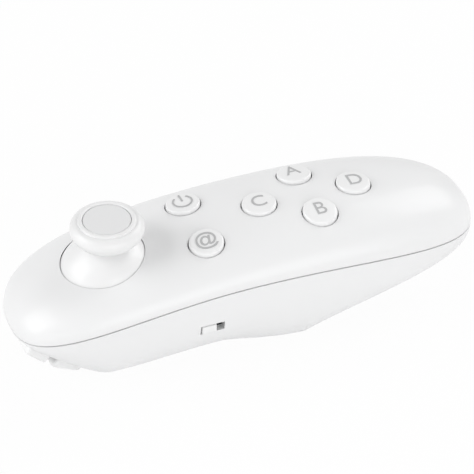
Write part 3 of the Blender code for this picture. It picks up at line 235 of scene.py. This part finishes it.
# block with rounded edges: a superellipsoid of three half sizes in a given frame,
# with its sines and cosines to the power 2/p
def roundedBlock(name, half, power, place=np.eye(4), rows=48, columns=72):
    u = np.linspace(-np.pi / 2, np.pi / 2, rows)[:, None]
    v = np.linspace(0, 2 * np.pi, columns, endpoint=False)[None]

    def bend(value):
        return np.sign(value) * np.abs(value) ** (2 / power)

    x = half[0] * bend(np.cos(u)) * bend(np.cos(v))
    y = half[1] * bend(np.cos(u)) * bend(np.sin(v))
    z = half[2] * bend(np.sin(u)) + 0 * v
    points = np.stack([x, y, z, np.ones_like(x)], axis=-1) @ np.asarray(place).T
    return gridMesh(name, points[..., :3])


# smooth path through control points: Catmull-Rom, several steps to each span
def smoothProfile(points, steps=6):
    p = np.asarray(points, float)
    p = np.concatenate([2 * p[:1] - p[1:2], p, 2 * p[-1:] - p[-2:-1]])
    t = np.linspace(0, 1, steps, endpoint=False)[None, :, None]
    a, b, c, d = (p[k:len(p) - 3 + k, None] for k in range(4))
    square, cube = 2 * a - 5 * b + 4 * c - d, 3 * b - a - 3 * c + d
    path = 0.5 * (2 * b + (c - a) * t + square * t ** 2 + cube * t ** 3)
    return np.concatenate([path.reshape(-1, 2), p[-2:-1]])


# a piece's points as rows of x, y, z, and the same rows put back
def readPoints(piece):
    co = np.empty(len(piece.data.vertices) * 3)
    piece.data.vertices.foreach_get("co", co)
    return co.reshape(-1, 3)


def writePoints(piece, co):
    piece.data.vertices.foreach_set("co", co.ravel())
    piece.data.update()


# Boolean, put into the mesh at once, with its helper removed
def carve(piece, helper, operation="DIFFERENCE"):
    step = piece.modifiers.new("carve", "BOOLEAN")
    step.operation, step.solver, step.object = operation, "EXACT", helper
    bpy.context.view_layer.update()
    done = bpy.data.meshes.new_from_object(piece.evaluated_get(bpy.context.evaluated_depsgraph_get()))
    piece.modifiers.clear()
    piece.data = done
    bpy.data.objects.remove(helper)


# finish, smooth shading with sharp edges above an angle, body, slot and the nodes that the piece stands for
def finishPiece(piece, look, bodyName, nodes=(), sharp=35):
    piece.data.materials.clear()
    piece.data.materials.append(look)
    piece.data.shade_smooth()
    piece.data.set_sharp_from_angle(angle=math.radians(sharp))
    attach(piece, bodyName)
    if nodes:
        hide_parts(*nodes)


surface = {"cloudScale": 45, "cloudDetail": 3, "poreDetail": 2, "glossSpread": 0.05, "bumpStrength": 0.5}


# moulded finish: cloudy tint between two near colours, fine grain in roughness and bump
def moulded(name, colour, other, roughness, grain, depth, metal=0.0, coat=0.0):
    look = bpy.data.materials.new(name)
    look.use_nodes = True
    nodes, links = look.node_tree.nodes, look.node_tree.links
    shader = nodes["Principled BSDF"]
    shader.inputs["Metallic"].default_value = metal
    shader.inputs["Coat Weight"].default_value = coat
    where = nodes.new("ShaderNodeTexCoord")
    clouds = nodes.new("ShaderNodeTexNoise")
    clouds.inputs["Scale"].default_value = surface["cloudScale"]
    clouds.inputs["Detail"].default_value = surface["cloudDetail"]
    tint = nodes.new("ShaderNodeMix")
    tint.data_type = "RGBA"
    tint.inputs["A"].default_value = (*colour, 1)
    tint.inputs["B"].default_value = (*other, 1)
    pores = nodes.new("ShaderNodeTexNoise")
    pores.inputs["Scale"].default_value = grain
    pores.inputs["Detail"].default_value = surface["poreDetail"]
    gloss = nodes.new("ShaderNodeMapRange")
    gloss.inputs["To Min"].default_value = roughness - surface["glossSpread"]
    gloss.inputs["To Max"].default_value = roughness + surface["glossSpread"]
    bump = nodes.new("ShaderNodeBump")
    bump.inputs["Distance"].default_value = depth
    bump.inputs["Strength"].default_value = surface["bumpStrength"]
    links.new(where.outputs["Object"], clouds.inputs["Vector"])
    links.new(where.outputs["Object"], pores.inputs["Vector"])
    links.new(clouds.outputs["Fac"], tint.inputs["Factor"])
    links.new(tint.outputs["Result"], shader.inputs["Base Color"])
    links.new(pores.outputs["Fac"], gloss.inputs["Value"])
    links.new(gloss.outputs["Result"], shader.inputs["Roughness"])
    links.new(pores.outputs["Fac"], bump.inputs["Height"])
    links.new(bump.outputs["Normal"], shader.inputs["Normal"])
    return look


# of each: two near colours, roughness, grain scale and bump depth
looks = {
    "shell": moulded("whiteShell", (0.80, 0.802, 0.806), (0.815, 0.817, 0.82), 0.42, 2600, 12e-6, coat=0.15),
    "key": moulded("whiteKey", (0.820, 0.821, 0.823), (0.835, 0.836, 0.837), 0.36, 3200, 8e-6, coat=0.2),
    "cap": moulded("whiteCap", (0.790, 0.791, 0.793), (0.805, 0.806, 0.807), 0.40, 3200, 8e-6, coat=0.15),
    "pad": moulded("paleGrip", (0.735, 0.737, 0.740), (0.755, 0.757, 0.760), 0.58, 4200, 30e-6),
    "ink": moulded("greyInk", (0.430, 0.432, 0.436), (0.470, 0.472, 0.476), 0.50, 3000, 6e-6),
    "black": moulded("blackMoulding", (0.022, 0.022, 0.024), (0.034, 0.034, 0.036), 0.46, 1800, 20e-6),
    "board": moulded("greenBoard", (0.012, 0.110, 0.045), (0.022, 0.150, 0.065), 0.40, 900, 30e-6, coat=0.3),
    "silicone": moulded("greySilicone", (0.30, 0.30, 0.31), (0.36, 0.36, 0.37), 0.62, 2400, 20e-6),
    "steel": moulded("platedSteel", (0.58, 0.58, 0.59), (0.66, 0.66, 0.66), 0.28, 5200, 8e-6, metal=1.0),
    "shield": moulded("tinnedShield", (0.64, 0.64, 0.62), (0.72, 0.72, 0.70), 0.38, 1500, 10e-6, metal=1.0),
    "jacket": moulded("cellSleeve", (0.080, 0.090, 0.110), (0.110, 0.120, 0.140), 0.34, 2000, 8e-6, coat=0.3),
}
slotLooks = {
    "white_shell": "shell", "white_key": "key", "grey_grip": "pad", "black_plastic": "black",
    "green_board": "board", "grey_silicone": "silicone", "plated_steel": "steel",
    "tinned_shield": "shield", "cell_jacket": "jacket",
}
# finishes on the CAD nodes that show as they are
for entry in frame["record"]["subparts"]:
    node = bpy.data.objects[frame["nodes"][entry["node"]].name]
    for place in node.material_slots:
        place.link = "OBJECT"
        place.material = looks[slotLooks[entry["material_slot"]]]
print("finishes made:", len(looks))

# thumbstick: hemUp and the end of the bore are heights above the pivot, top and flangeUp above the hem
stick = {
    "pivot": (-0.0354, 0.0, 0.02075), "hemUp": 0.0076, "hemRadius": 0.01085,
    "socketGap": 0.00024, "socketSteps": 24, "skirtWall": 0.0011, "skirtDeg": 83, "skirtSteps": 40,
    "top": 0.0119, "recess": 0.0009, "recessWall": 0.0007, "ring": 0.0073, "ringStep": 0.0006,
    # the ring's edges turn over through one point, so far in and so far down, and are level from edgeIn on
    "edge": (0.0001, 0.00015), "edgeIn": 0.0004,
    "flange": 0.00935, "flangeUp": 0.0090, "neck": 0.0046, "bowlPower": 1.6, "quarterSteps": 24,
    "hub": (0.0030, 0.0040), "bore": (0.0015, 0.0140), "steps": 128,
    "padRadius": 0.0060, "padGap": 0.00008, "padFoot": 0.0006,
    # pad edge as steps in from the radius and down from the top, pad face as shares of the radius and drops
    "padEdge": ((0.0, 0.0004), (0.0001, 0.00026), (0.0004, 0.0002)),
    "padFace": ((0.7, 0.00022), (0.35, 0.00026), (0.0, 0.00028)),
}
ball = math.hypot(stick["hemRadius"], stick["hemUp"])

# round keys: plan place, body that carries each one, and the mark on its face
keys = {
    "power_button": (-0.0126, 0.0085, "power_key", None),
    "menu_button": (-0.0124, -0.0081, "menu_key", "@"),
    "c_button": (0.0047, 0.0, "c_key", "C"),
    "a_button": (0.0175, 0.0085, "a_key", "A"),
    "b_button": (0.0180, -0.0080, "b_key", "B"),
    "d_button": (0.0303, 0.0, "d_key", "D"),
}
key = {
    "radius": 0.0044, "gap": 0.0003, "proud": 0.0009, "edge": 0.0006, "edgeSteps": 9, "steps": 72,
    "flangeWidth": 0.0008, "flangeThick": 0.0008, "flangeSteps": 14,
    "stemRadius": 0.0024, "hole": (-0.006, 0.004),
    # crowned face: shares of the radius and rises above the edge
    "crown": ((0.6, 0.00004), (0.3, 0.00008), (0.0, 0.0001)),
    "markSize": 0.0059, "signSize": 0.0058, "markLift": 0.00003, "markThick": 0.00004,
    "markGrow": -0.00002, "signGrow": 0.00003,
    "markShift": {"A": (-0.0002, 0.0011), "B": (0.0003, 0.0005), "C": (0.0, 0.0004), "D": (0.0006, 0.0006)},
}
# power sign: an open ring and an upright bar
powerSign = {
    "radius": 0.0024, "openDeg": 38, "ringSteps": 40, "width": 0.00045, "thick": 0.00005,
    "bar": (-0.0007, 0.0024), "barSteps": 6, "barUp": 0.0018,
}

# upper shell, with its key holes and the round socket of the stick
upperShell = gridMesh("upperShell", shellGrid(True))
for x, y, _, _ in keys.values():
    centre = (x, y, float(topHeight(x, y)))
    carve(upperShell, cylinder("keyHole", key["radius"] + key["gap"], *key["hole"], key["steps"], centre))
polar = np.linspace(math.radians(stick["skirtDeg"]), 0, stick["socketSteps"])
socketRadius = ball + stick["socketGap"]
arc = np.stack([socketRadius * np.sin(polar), socketRadius * np.cos(polar)], axis=-1)
arc[-1, 0] = 0
socket = np.concatenate([[(0, arc[0, 1])], arc])
carve(upperShell, turned("stickSocket", socket, stick["steps"], stick["pivot"]))
finishPiece(upperShell, looks["shell"], "body", ["top_shell"], sharp=40)
print("upper shell done:", len(upperShell.data.polygons), "faces")

# front triggers, in the frame of the sloping chin: down the slope, across, into the body
trigger = {
    "chinX": (-0.060, -0.043), "width": 0.0164, "gap": 0.0003,
    "level": 0.00331, "power": 9.0, "windowOut": -0.0054,
    # of each: start down the slope, length, how proud its two ends stand
    "upper": (0.0014, 0.0070, 0.0027, 0.0037), "lower": (0.0104, 0.0082, 0.0042, 0.0025),
}
# the slope is the straight line between two points of the belly
chinX = np.array(trigger["chinX"])
chinZ = seamHeight(chinX) - lowerDepth(chinX, seamHeight(chinX))
slope = np.arctan2(chinZ[0] - chinZ[1], chinX[1] - chinX[0])
chinFrame = np.eye(4)
chinFrame[:3, 0] = (np.cos(slope), 0, -np.sin(slope))
chinFrame[:3, 2] = (np.sin(slope), 0, np.cos(slope))
chinFrame[:3, 3] = (chinX[0], 0, chinZ[0])

# battery door in the underside, slide knob in the side wall, and screw wells: place along, across, and depth
door = {"x": (-0.0346, 0.0116), "half": 0.013, "corner": 0.003, "gap": 0.00035, "cutTop": 0.0064}
knob = {
    "x": -0.0150, "z": 0.0141, "length": 0.0040, "height": 0.0023, "travel": 0.0018, "gap": 0.0003,
    "wallY": -0.01929, "slotDepth": 0.0036, "proud": 0.0004, "depth": 0.0028, "power": 7.0,
}
screws = {"radius": 0.0018, "steps": 36, "wells": ((-0.0500, 0.0119, 0.0110), (0.0500, 0.0080, 0.0149))}
under = -0.002    # start of the cuts below the underside


# upright prism over a rounded rectangle: straight sides and four quarter circles
def plate(name, lowX, highX, half, corner, lowZ, highZ, arcSteps=10):
    turn = np.linspace(0, np.pi / 2, arcSteps)
    quarters = np.arange(4)[:, None] * np.pi / 2 + turn
    signX = np.array([1, -1, -1, 1])[:, None]
    signY = np.array([1, 1, -1, -1])[:, None]
    centreX = np.where(signX > 0, highX - corner, lowX + corner)
    x = (centreX + corner * np.cos(quarters)).ravel()
    y = (signY * (half - corner) + corner * np.sin(quarters)).ravel()
    rows = [np.stack([x, y, 0 * x + z], axis=-1) for z in (lowZ, highZ)]
    return gridMesh(name, np.stack(rows), capEnds=True)


# straight block between two corners, as a prism of four sides, in a given frame
def block(name, low, high, place=np.eye(4)):
    x = np.array([low[0], high[0], high[0], low[0]])
    y = np.array([low[1], low[1], high[1], high[1]])
    rows = [np.stack([x, y, 0 * x + z, 0 * x + 1], axis=-1) for z in (low[2], high[2])]
    return gridMesh(name, (np.stack(rows) @ np.asarray(place).T)[..., :3], capEnds=True)


# lower shell, with the door cut from the same surface
lowerShell = gridMesh("lowerShell", shellGrid(False))
doorSkin = gridMesh("doorSkin", shellGrid(False))
carve(lowerShell, plate("doorOpening", *door["x"], door["half"], door["corner"], under, door["cutTop"]))
lowX, highX = door["x"][0] + door["gap"], door["x"][1] - door["gap"]
trim = plate("doorTrim", lowX, highX, door["half"] - door["gap"], door["corner"], under, door["cutTop"])
carve(doorSkin, trim, "INTERSECT")
finishPiece(doorSkin, looks["shell"], "door", ["battery_door"])
slotHalf = (knob["length"] + knob["travel"]) / 2 + knob["gap"]
slotRise = knob["height"] / 2 + knob["gap"]
carve(lowerShell, block("knobSlot", (knob["x"] - slotHalf, -body["width"], knob["z"] - slotRise),
                        (knob["x"] + slotHalf, knob["wallY"] + knob["slotDepth"], knob["z"] + slotRise)))
for name in ("upper", "lower"):
    start, length = trigger[name][:2]
    side = trigger["width"] / 2 + trigger["gap"]
    carve(lowerShell, block("triggerWindow", (start - trigger["gap"], -side, trigger["windowOut"]),
                            (start + length + trigger["gap"], side, trigger["level"]), chinFrame))
for x, y, depth in screws["wells"]:
    for side in (-1, 1):
        well = cylinder("screwWell", screws["radius"], under, depth, screws["steps"], (x, side * y, 0.0))
        carve(lowerShell, well)
finishPiece(lowerShell, looks["shell"], "body", ["bottom_shell"], sharp=40)
print("lower shell and door done:", len(lowerShell.data.polygons), "faces")

# stick cap: recess and ring on top, a quarter ellipse for a shoulder and a leaner one for the bowl,
# with cosine^(2/p) and sine^(2/p), then a ball skirt that runs on down inside the socket,
# hollow from below with a hub for the shaft
hem = stick["hemUp"]
top = hem + stick["top"]
flangeZ = hem + stick["flangeUp"]
padEdge = stick["padRadius"] + stick["padGap"]
ring = stick["ring"]
edgeOut, edgeDrop = stick["edge"]
edgeIn = stick["edgeIn"]
crown = smoothProfile([
    (padEdge, top - stick["recessWall"]), (padEdge + edgeOut, top - edgeDrop), (padEdge + edgeIn, top),
    (ring - edgeIn, top), (ring - edgeOut, top - edgeDrop), (ring, top - stick["ringStep"]),
])
quarter = np.linspace(0, 1, stick["quarterSteps"])[:, None] * np.pi / 2
shoulder = np.hstack([ring + (stick["flange"] - ring) * np.sin(quarter),
                      flangeZ + (top - stick["ringStep"] - flangeZ) * np.cos(quarter)])[1:]
neckZ = math.sqrt(ball ** 2 - stick["neck"] ** 2)
bend = 2 / stick["bowlPower"]
bowl = np.hstack([stick["neck"] + (stick["flange"] - stick["neck"]) * np.clip(np.cos(quarter), 0, 1) ** bend,
                  flangeZ + (neckZ - flangeZ) * np.sin(quarter) ** bend])[1:]
neckTurn, skirtTurn = math.asin(stick["neck"] / ball), math.radians(stick["skirtDeg"])
sweep = np.linspace(neckTurn, skirtTurn, stick["skirtSteps"])[:, None]
ballArc = np.hstack([np.sin(sweep), np.cos(sweep)])
skirt = ball * ballArc[1:]
inside = (ball - stick["skirtWall"]) * ballArc[::-1]
hubRadius, hubDrop = stick["hub"]
boreRadius, boreTop = stick["bore"]
roof = inside[-1, 1]
hubFoot = roof - hubDrop
hub = [(hubRadius, roof), (hubRadius, hubFoot), (boreRadius, hubFoot), (boreRadius, boreTop), (0, boreTop)]
recess = [(0, top - stick["recess"]), (padEdge, top - stick["recess"])]
capProfile = np.concatenate([recess, crown, shoulder, bowl, skirt, inside, hub])
capSkin = turned("stickCap", capProfile, stick["steps"], stick["pivot"])
finishPiece(capSkin, looks["cap"], "stick", ["stick_cap"], sharp=50)
padRadius, padFoot = stick["padRadius"], top - stick["padFoot"]
padProfile = np.concatenate([
    [(0, padFoot), (padRadius, padFoot)],
    smoothProfile([(padRadius - inset, top - drop) for inset, drop in stick["padEdge"]]),
    [(share * padRadius, top - drop) for share, drop in stick["padFace"]],
])
padSkin = turned("stickPad", padProfile, stick["steps"], stick["pivot"])
finishPiece(padSkin, looks["pad"], "stick", ["stick_pad"], sharp=50)
print("thumbstick done")


# flat line with square ends: a closed ribbon, half the width to each side of a path in the plane
def stroke(name, path, width, height):
    path = np.asarray(path, float)
    along = np.gradient(path, axis=0)
    along /= np.linalg.norm(along, axis=1, keepdims=True)
    across = np.stack([-along[:, 1], along[:, 0]], axis=-1) * width / 2
    columns = [(-1, 0), (1, 0), (1, height), (-1, height)]
    ring = [np.column_stack([path + across * s, np.full(len(path), h)]) for s, h in columns]
    return gridMesh(name, np.stack(ring, axis=1), capEnds=True)


# one letter or sign of the built-in font as a thin mesh
def writtenMark(name, letter, size):
    text = bpy.data.curves.new(name, "FONT")
    text.body, text.size, text.extrude = letter, size, key["markThick"]
    text.align_x, text.align_y = "CENTER", "CENTER"
    text.offset = key["signGrow" if letter == "@" else "markGrow"]
    drawn = bpy.data.objects.new(name, text)
    bpy.context.scene.collection.objects.link(drawn)
    bpy.context.view_layer.update()
    flat = bpy.data.meshes.new_from_object(drawn.evaluated_get(bpy.context.evaluated_depsgraph_get()))
    bpy.data.objects.remove(drawn)
    piece = bpy.data.objects.new(name, flat)
    bpy.context.scene.collection.objects.link(piece)
    return piece


# puts the middle of a piece at a place and shears it along the sloping face of a key:
# height plus slope times distance
def lieOnFace(piece, x, y, height, slopeX, slopeY):
    co = readPoints(piece)
    middle = (co[:, :2].min(axis=0) + co[:, :2].max(axis=0)) / 2
    co[:, :2] -= middle
    co[:, 2] += height + slopeX * co[:, 0] + slopeY * co[:, 1]
    co[:, 0] += x
    co[:, 1] += y
    writePoints(piece, co)


# keys: a stem, a flange under the shell and a crowned face that follows the slope of the top, with its mark
small = key["radius"] / 10    # step for the slopes
for name, (x, y, carrier, letter) in keys.items():
    face = float(topHeight(x, y)) + key["proud"]
    slopeX = float(topHeight(x + small, y) - topHeight(x - small, y)) / (2 * small)
    slopeY = float(topHeight(x, y + small) - topHeight(x, y - small)) / (2 * small)
    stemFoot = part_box(name)[0][2]
    reach = key["radius"] + key["gap"] + key["flangeWidth"]
    circle = np.linspace(0, 2 * np.pi, key["flangeSteps"], endpoint=False)
    inner = topHeight(x + reach * np.cos(circle), y + reach * np.sin(circle), body["wall"])
    flange = float(inner.min()) - key["gap"]
    flangeFoot = flange - key["flangeThick"]
    r, e = key["radius"], key["edge"]
    turnIn = np.linspace(0, np.pi / 2, key["edgeSteps"])[:, None]
    edge = np.hstack([r - e + e * np.cos(turnIn), face - e + e * np.sin(turnIn)])
    stem = [(0, stemFoot), (key["stemRadius"], stemFoot), (key["stemRadius"], flangeFoot)]
    rim = [(reach, flangeFoot), (reach, flange), (r, flange)]
    profile = np.concatenate([stem, rim, edge, [(share * r, face + rise) for share, rise in key["crown"]]])
    cap = turned(name.replace("_button", "Key"), profile, key["steps"], (x, y, 0))
    co = readPoints(cap)
    upperPart = co[:, 2] > flange + e / 2
    co[:, 2] += upperPart * (slopeX * (co[:, 0] - x) + slopeY * (co[:, 1] - y))
    writePoints(cap, co)
    finishPiece(cap, looks["key"], carrier, [name], sharp=40)
    level = face + key["crown"][-1][1] + key["markLift"]
    if letter:
        size = key["signSize" if letter == "@" else "markSize"]
        marks = [writtenMark(name.replace("_button", "Mark"), letter, size)]
    else:
        opening = powerSign["openDeg"]
        t = np.radians(np.linspace(90 + opening, 450 - opening, powerSign["ringSteps"]))
        ringPath = powerSign["radius"] * np.stack([np.cos(t), np.sin(t)], axis=-1)
        barY = np.linspace(*powerSign["bar"], powerSign["barSteps"])
        barPath = np.stack([0 * barY, barY], axis=-1)
        paths = {"powerRing": ringPath, "powerBar": barPath}
        marks = [stroke(part, line, powerSign["width"], powerSign["thick"]) for part, line in paths.items()]
    for mark in marks:
        along, lift = key["markShift"].get(letter, (0.0, 0.0))
        if mark.name == "powerBar":
            lift = powerSign["barUp"]
        lieOnFace(mark, x + along, y + lift, level + slopeX * along + slopeY * lift, slopeX, slopeY)
        finishPiece(mark, looks["ink"], carrier)
print("keys and marks done:", len(keys))

# silicone key mat: a flat sheet on the board with holes for the screw posts, and a hollow dome under each
# key;
# foot and tip are inner and outer radius
mat = {
    "thick": 0.0008, "corner": 0.0045, "postHole": 0.00235, "foot": (0.0029, 0.0036), "tip": (0.0019, 0.0027),
    "roof": 0.0010, "travel": 0.0008, "steps": 40,
}
low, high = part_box("key_pad")
matTop = low[2] + mat["thick"]
matSheet = plate("keyMat", low[0], high[0], high[1], mat["corner"], low[2], matTop)
for name in ("front", "left", "right"):
    x, y = np.mean(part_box("key_board_screw_" + name), axis=0)[:2]
    hole = cylinder("postHole", mat["postHole"], low[2] - mat["thick"], high[2], mat["steps"], (x, y, 0))
    carve(matSheet, hole)
finishPiece(matSheet, looks["silicone"], "body", ["key_pad"])
ceiling = high[2] - mat["roof"]
innerFoot, outerFoot = mat["foot"]
innerTip, outerTip = mat["tip"]
domeProfile = [
    (0, ceiling), (innerTip, ceiling), (innerFoot, matTop),
    (outerFoot, matTop), (outerTip, high[2]), (0, high[2]),
]
for name, (x, y, _, _) in keys.items():
    dome = turned(name.replace("_button", "Dome"), domeProfile, mat["steps"], (x, y, 0))
    finishPiece(dome, looks["silicone"], "body")
    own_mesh(dome)
print("key mat done")

# triggers: blocks with soft edges that reach through their windows, with outer faces that lean
for name in ("upper", "lower"):
    start, length, first, last = trigger[name]
    middle = start + length / 2
    depth = (trigger["level"] + (first + last) / 2) / 2
    place = np.eye(4)
    place[:3, 3] = (middle, 0, trigger["level"] - depth)
    half = (length / 2, trigger["width"] / 2, depth)
    paddle = roundedBlock(name + "Trigger", half, trigger["power"], place)
    co = readPoints(paddle)
    outer = (trigger["level"] - co[:, 2]) / (2 * depth)
    co[:, 2] -= outer * (last - first) * (co[:, 0] - middle) / length
    writePoints(paddle, co @ chinFrame[:3, :3].T + chinFrame[:3, 3])
    finishPiece(paddle, looks["key"], name + "_key", [name + "_trigger"], sharp=60)

# slide knob: a soft-edged block that stands a little proud of the side wall
half = (knob["length"] / 2, knob["depth"] / 2, knob["height"] / 2)
place = np.eye(4)
place[:3, 3] = (knob["x"] - knob["travel"] / 2, knob["wallY"] - knob["proud"] + knob["depth"] / 2, knob["z"])
slider = roundedBlock("modeKnob", half, knob["power"], place)
finishPiece(slider, looks["key"], "mode_slider", ["mode_knob"], sharp=60)
print("triggers and slide knob done")


# 1 for rays that show the background, straight from the camera, mirrored or through glass:
# the largest of the three
def backgroundRays(nodes, links):
    ray = nodes.new("ShaderNodeLightPath")
    seen = ray.outputs["Is Camera Ray"]
    for other in ("Is Glossy Ray", "Is Transmission Ray"):
        either = nodes.new("ShaderNodeMath")
        either.operation = "MAXIMUM"
        links.new(seen, either.inputs[0])
        links.new(ray.outputs[other], either.inputs[1])
        seen = either.outputs[0]
    return seen


# floor that is white to the camera but keeps a faint shadow
backdrop = {
    "half": 3.0, "drop": 0.0002, "grey": (0.85, 0.85, 0.85, 1), "white": (1, 1, 1, 1), "whiteShare": 0.96,
    "skyLight": 0.44, "whiteLight": 1.0,
}
corner = np.array([[-1, -1, 0], [1, -1, 0], [1, 1, 0], [-1, 1, 0]]) * backdrop["half"]
floorMesh = bpy.data.meshes.new("floor")
floorMesh.from_pydata((corner - (0, 0, backdrop["drop"])).tolist(), [], [(0, 1, 2, 3)])
floor = bpy.data.objects.new("floor", floorMesh)
bpy.context.scene.collection.objects.link(floor)
floorLook = bpy.data.materials.new("paleFloor")
floorLook.use_nodes = True
nodes, links = floorLook.node_tree.nodes, floorLook.node_tree.links
nodes.remove(nodes["Principled BSDF"])
matt = nodes.new("ShaderNodeBsdfDiffuse")
matt.inputs["Color"].default_value = backdrop["grey"]
glow = nodes.new("ShaderNodeEmission")
glow.inputs["Color"].default_value = backdrop["white"]
share = nodes.new("ShaderNodeMath")
share.operation = "MULTIPLY"
share.inputs[1].default_value = backdrop["whiteShare"]
mix = nodes.new("ShaderNodeMixShader")
links.new(backgroundRays(nodes, links), share.inputs[0])
links.new(share.outputs[0], mix.inputs[0])
links.new(matt.outputs[0], mix.inputs[1])
links.new(glow.outputs[0], mix.inputs[2])
# clear from below, so that the underside can be seen
sides = nodes.new("ShaderNodeNewGeometry")
clear = nodes.new("ShaderNodeBsdfTransparent")
pick = nodes.new("ShaderNodeMixShader")
links.new(sides.outputs["Backfacing"], pick.inputs[0])
links.new(mix.outputs[0], pick.inputs[1])
links.new(clear.outputs[0], pick.inputs[2])
links.new(pick.outputs[0], nodes["Material Output"].inputs["Surface"])
floorMesh.materials.append(floorLook)

# world: white to the camera and in reflections, softer as light
world = bpy.data.worlds.new("studio")
bpy.context.scene.world = world
world.use_nodes = True
nodes, links = world.node_tree.nodes, world.node_tree.links
sky = nodes["Background"]
white = nodes.new("ShaderNodeBackground")
for shade, strength in ((sky, backdrop["skyLight"]), (white, backdrop["whiteLight"])):
    shade.inputs["Color"].default_value = backdrop["white"]
    shade.inputs["Strength"].default_value = strength
mix = nodes.new("ShaderNodeMixShader")
links.new(backgroundRays(nodes, links), mix.inputs[0])
links.new(sky.outputs[0], mix.inputs[1])
links.new(white.outputs[0], mix.inputs[2])
links.new(mix.outputs[0], nodes["World Output"].inputs["Surface"])

# soft lamps: place, size and power of each, all aimed at the body
lamps = {
    "leftKey": ((-0.95, 0.25, 0.55), 0.8, 6.9), "frontFill": ((0.12, -0.95, 0.28), 0.9, 6.4),
    "rearTop": ((0.8, 0.35, 0.65), 0.7, 4.4),
}
lampAim = Vector((0, 0, 0.02))
for name, (place, size, power) in lamps.items():
    data = bpy.data.lights.new(name, "AREA")
    data.size, data.energy = size, power
    lamp = bpy.data.objects.new(name, data)
    lamp.location = place
    lamp.rotation_euler = (lampAim - lamp.location).to_track_quat("-Z", "Y").to_euler()
    bpy.context.scene.collection.objects.link(lamp)

# camera at the photograph's angle
view = {
    "target": (0, 0, 0.0245), "away": 0.7, "from": (-0.277, -0.7255, 0.6301),
    "lens": 210.5, "sensor": 36, "shift": (-0.0095, -0.0015),
}
data = bpy.data.cameras.new("camera")
data.lens, data.sensor_width, data.sensor_fit = view["lens"], view["sensor"], "AUTO"
data.shift_x, data.shift_y = view["shift"]
camera = bpy.data.objects.new("camera", data)
target = Vector(view["target"])
camera.location = target + view["away"] * Vector(view["from"])
camera.rotation_euler = (target - camera.location).to_track_quat("-Z", "Y").to_euler()
bpy.context.scene.collection.objects.link(camera)
bpy.context.scene.camera = camera
bpy.context.scene.view_settings.view_transform = "Standard"
print("stage, lamps and camera done")
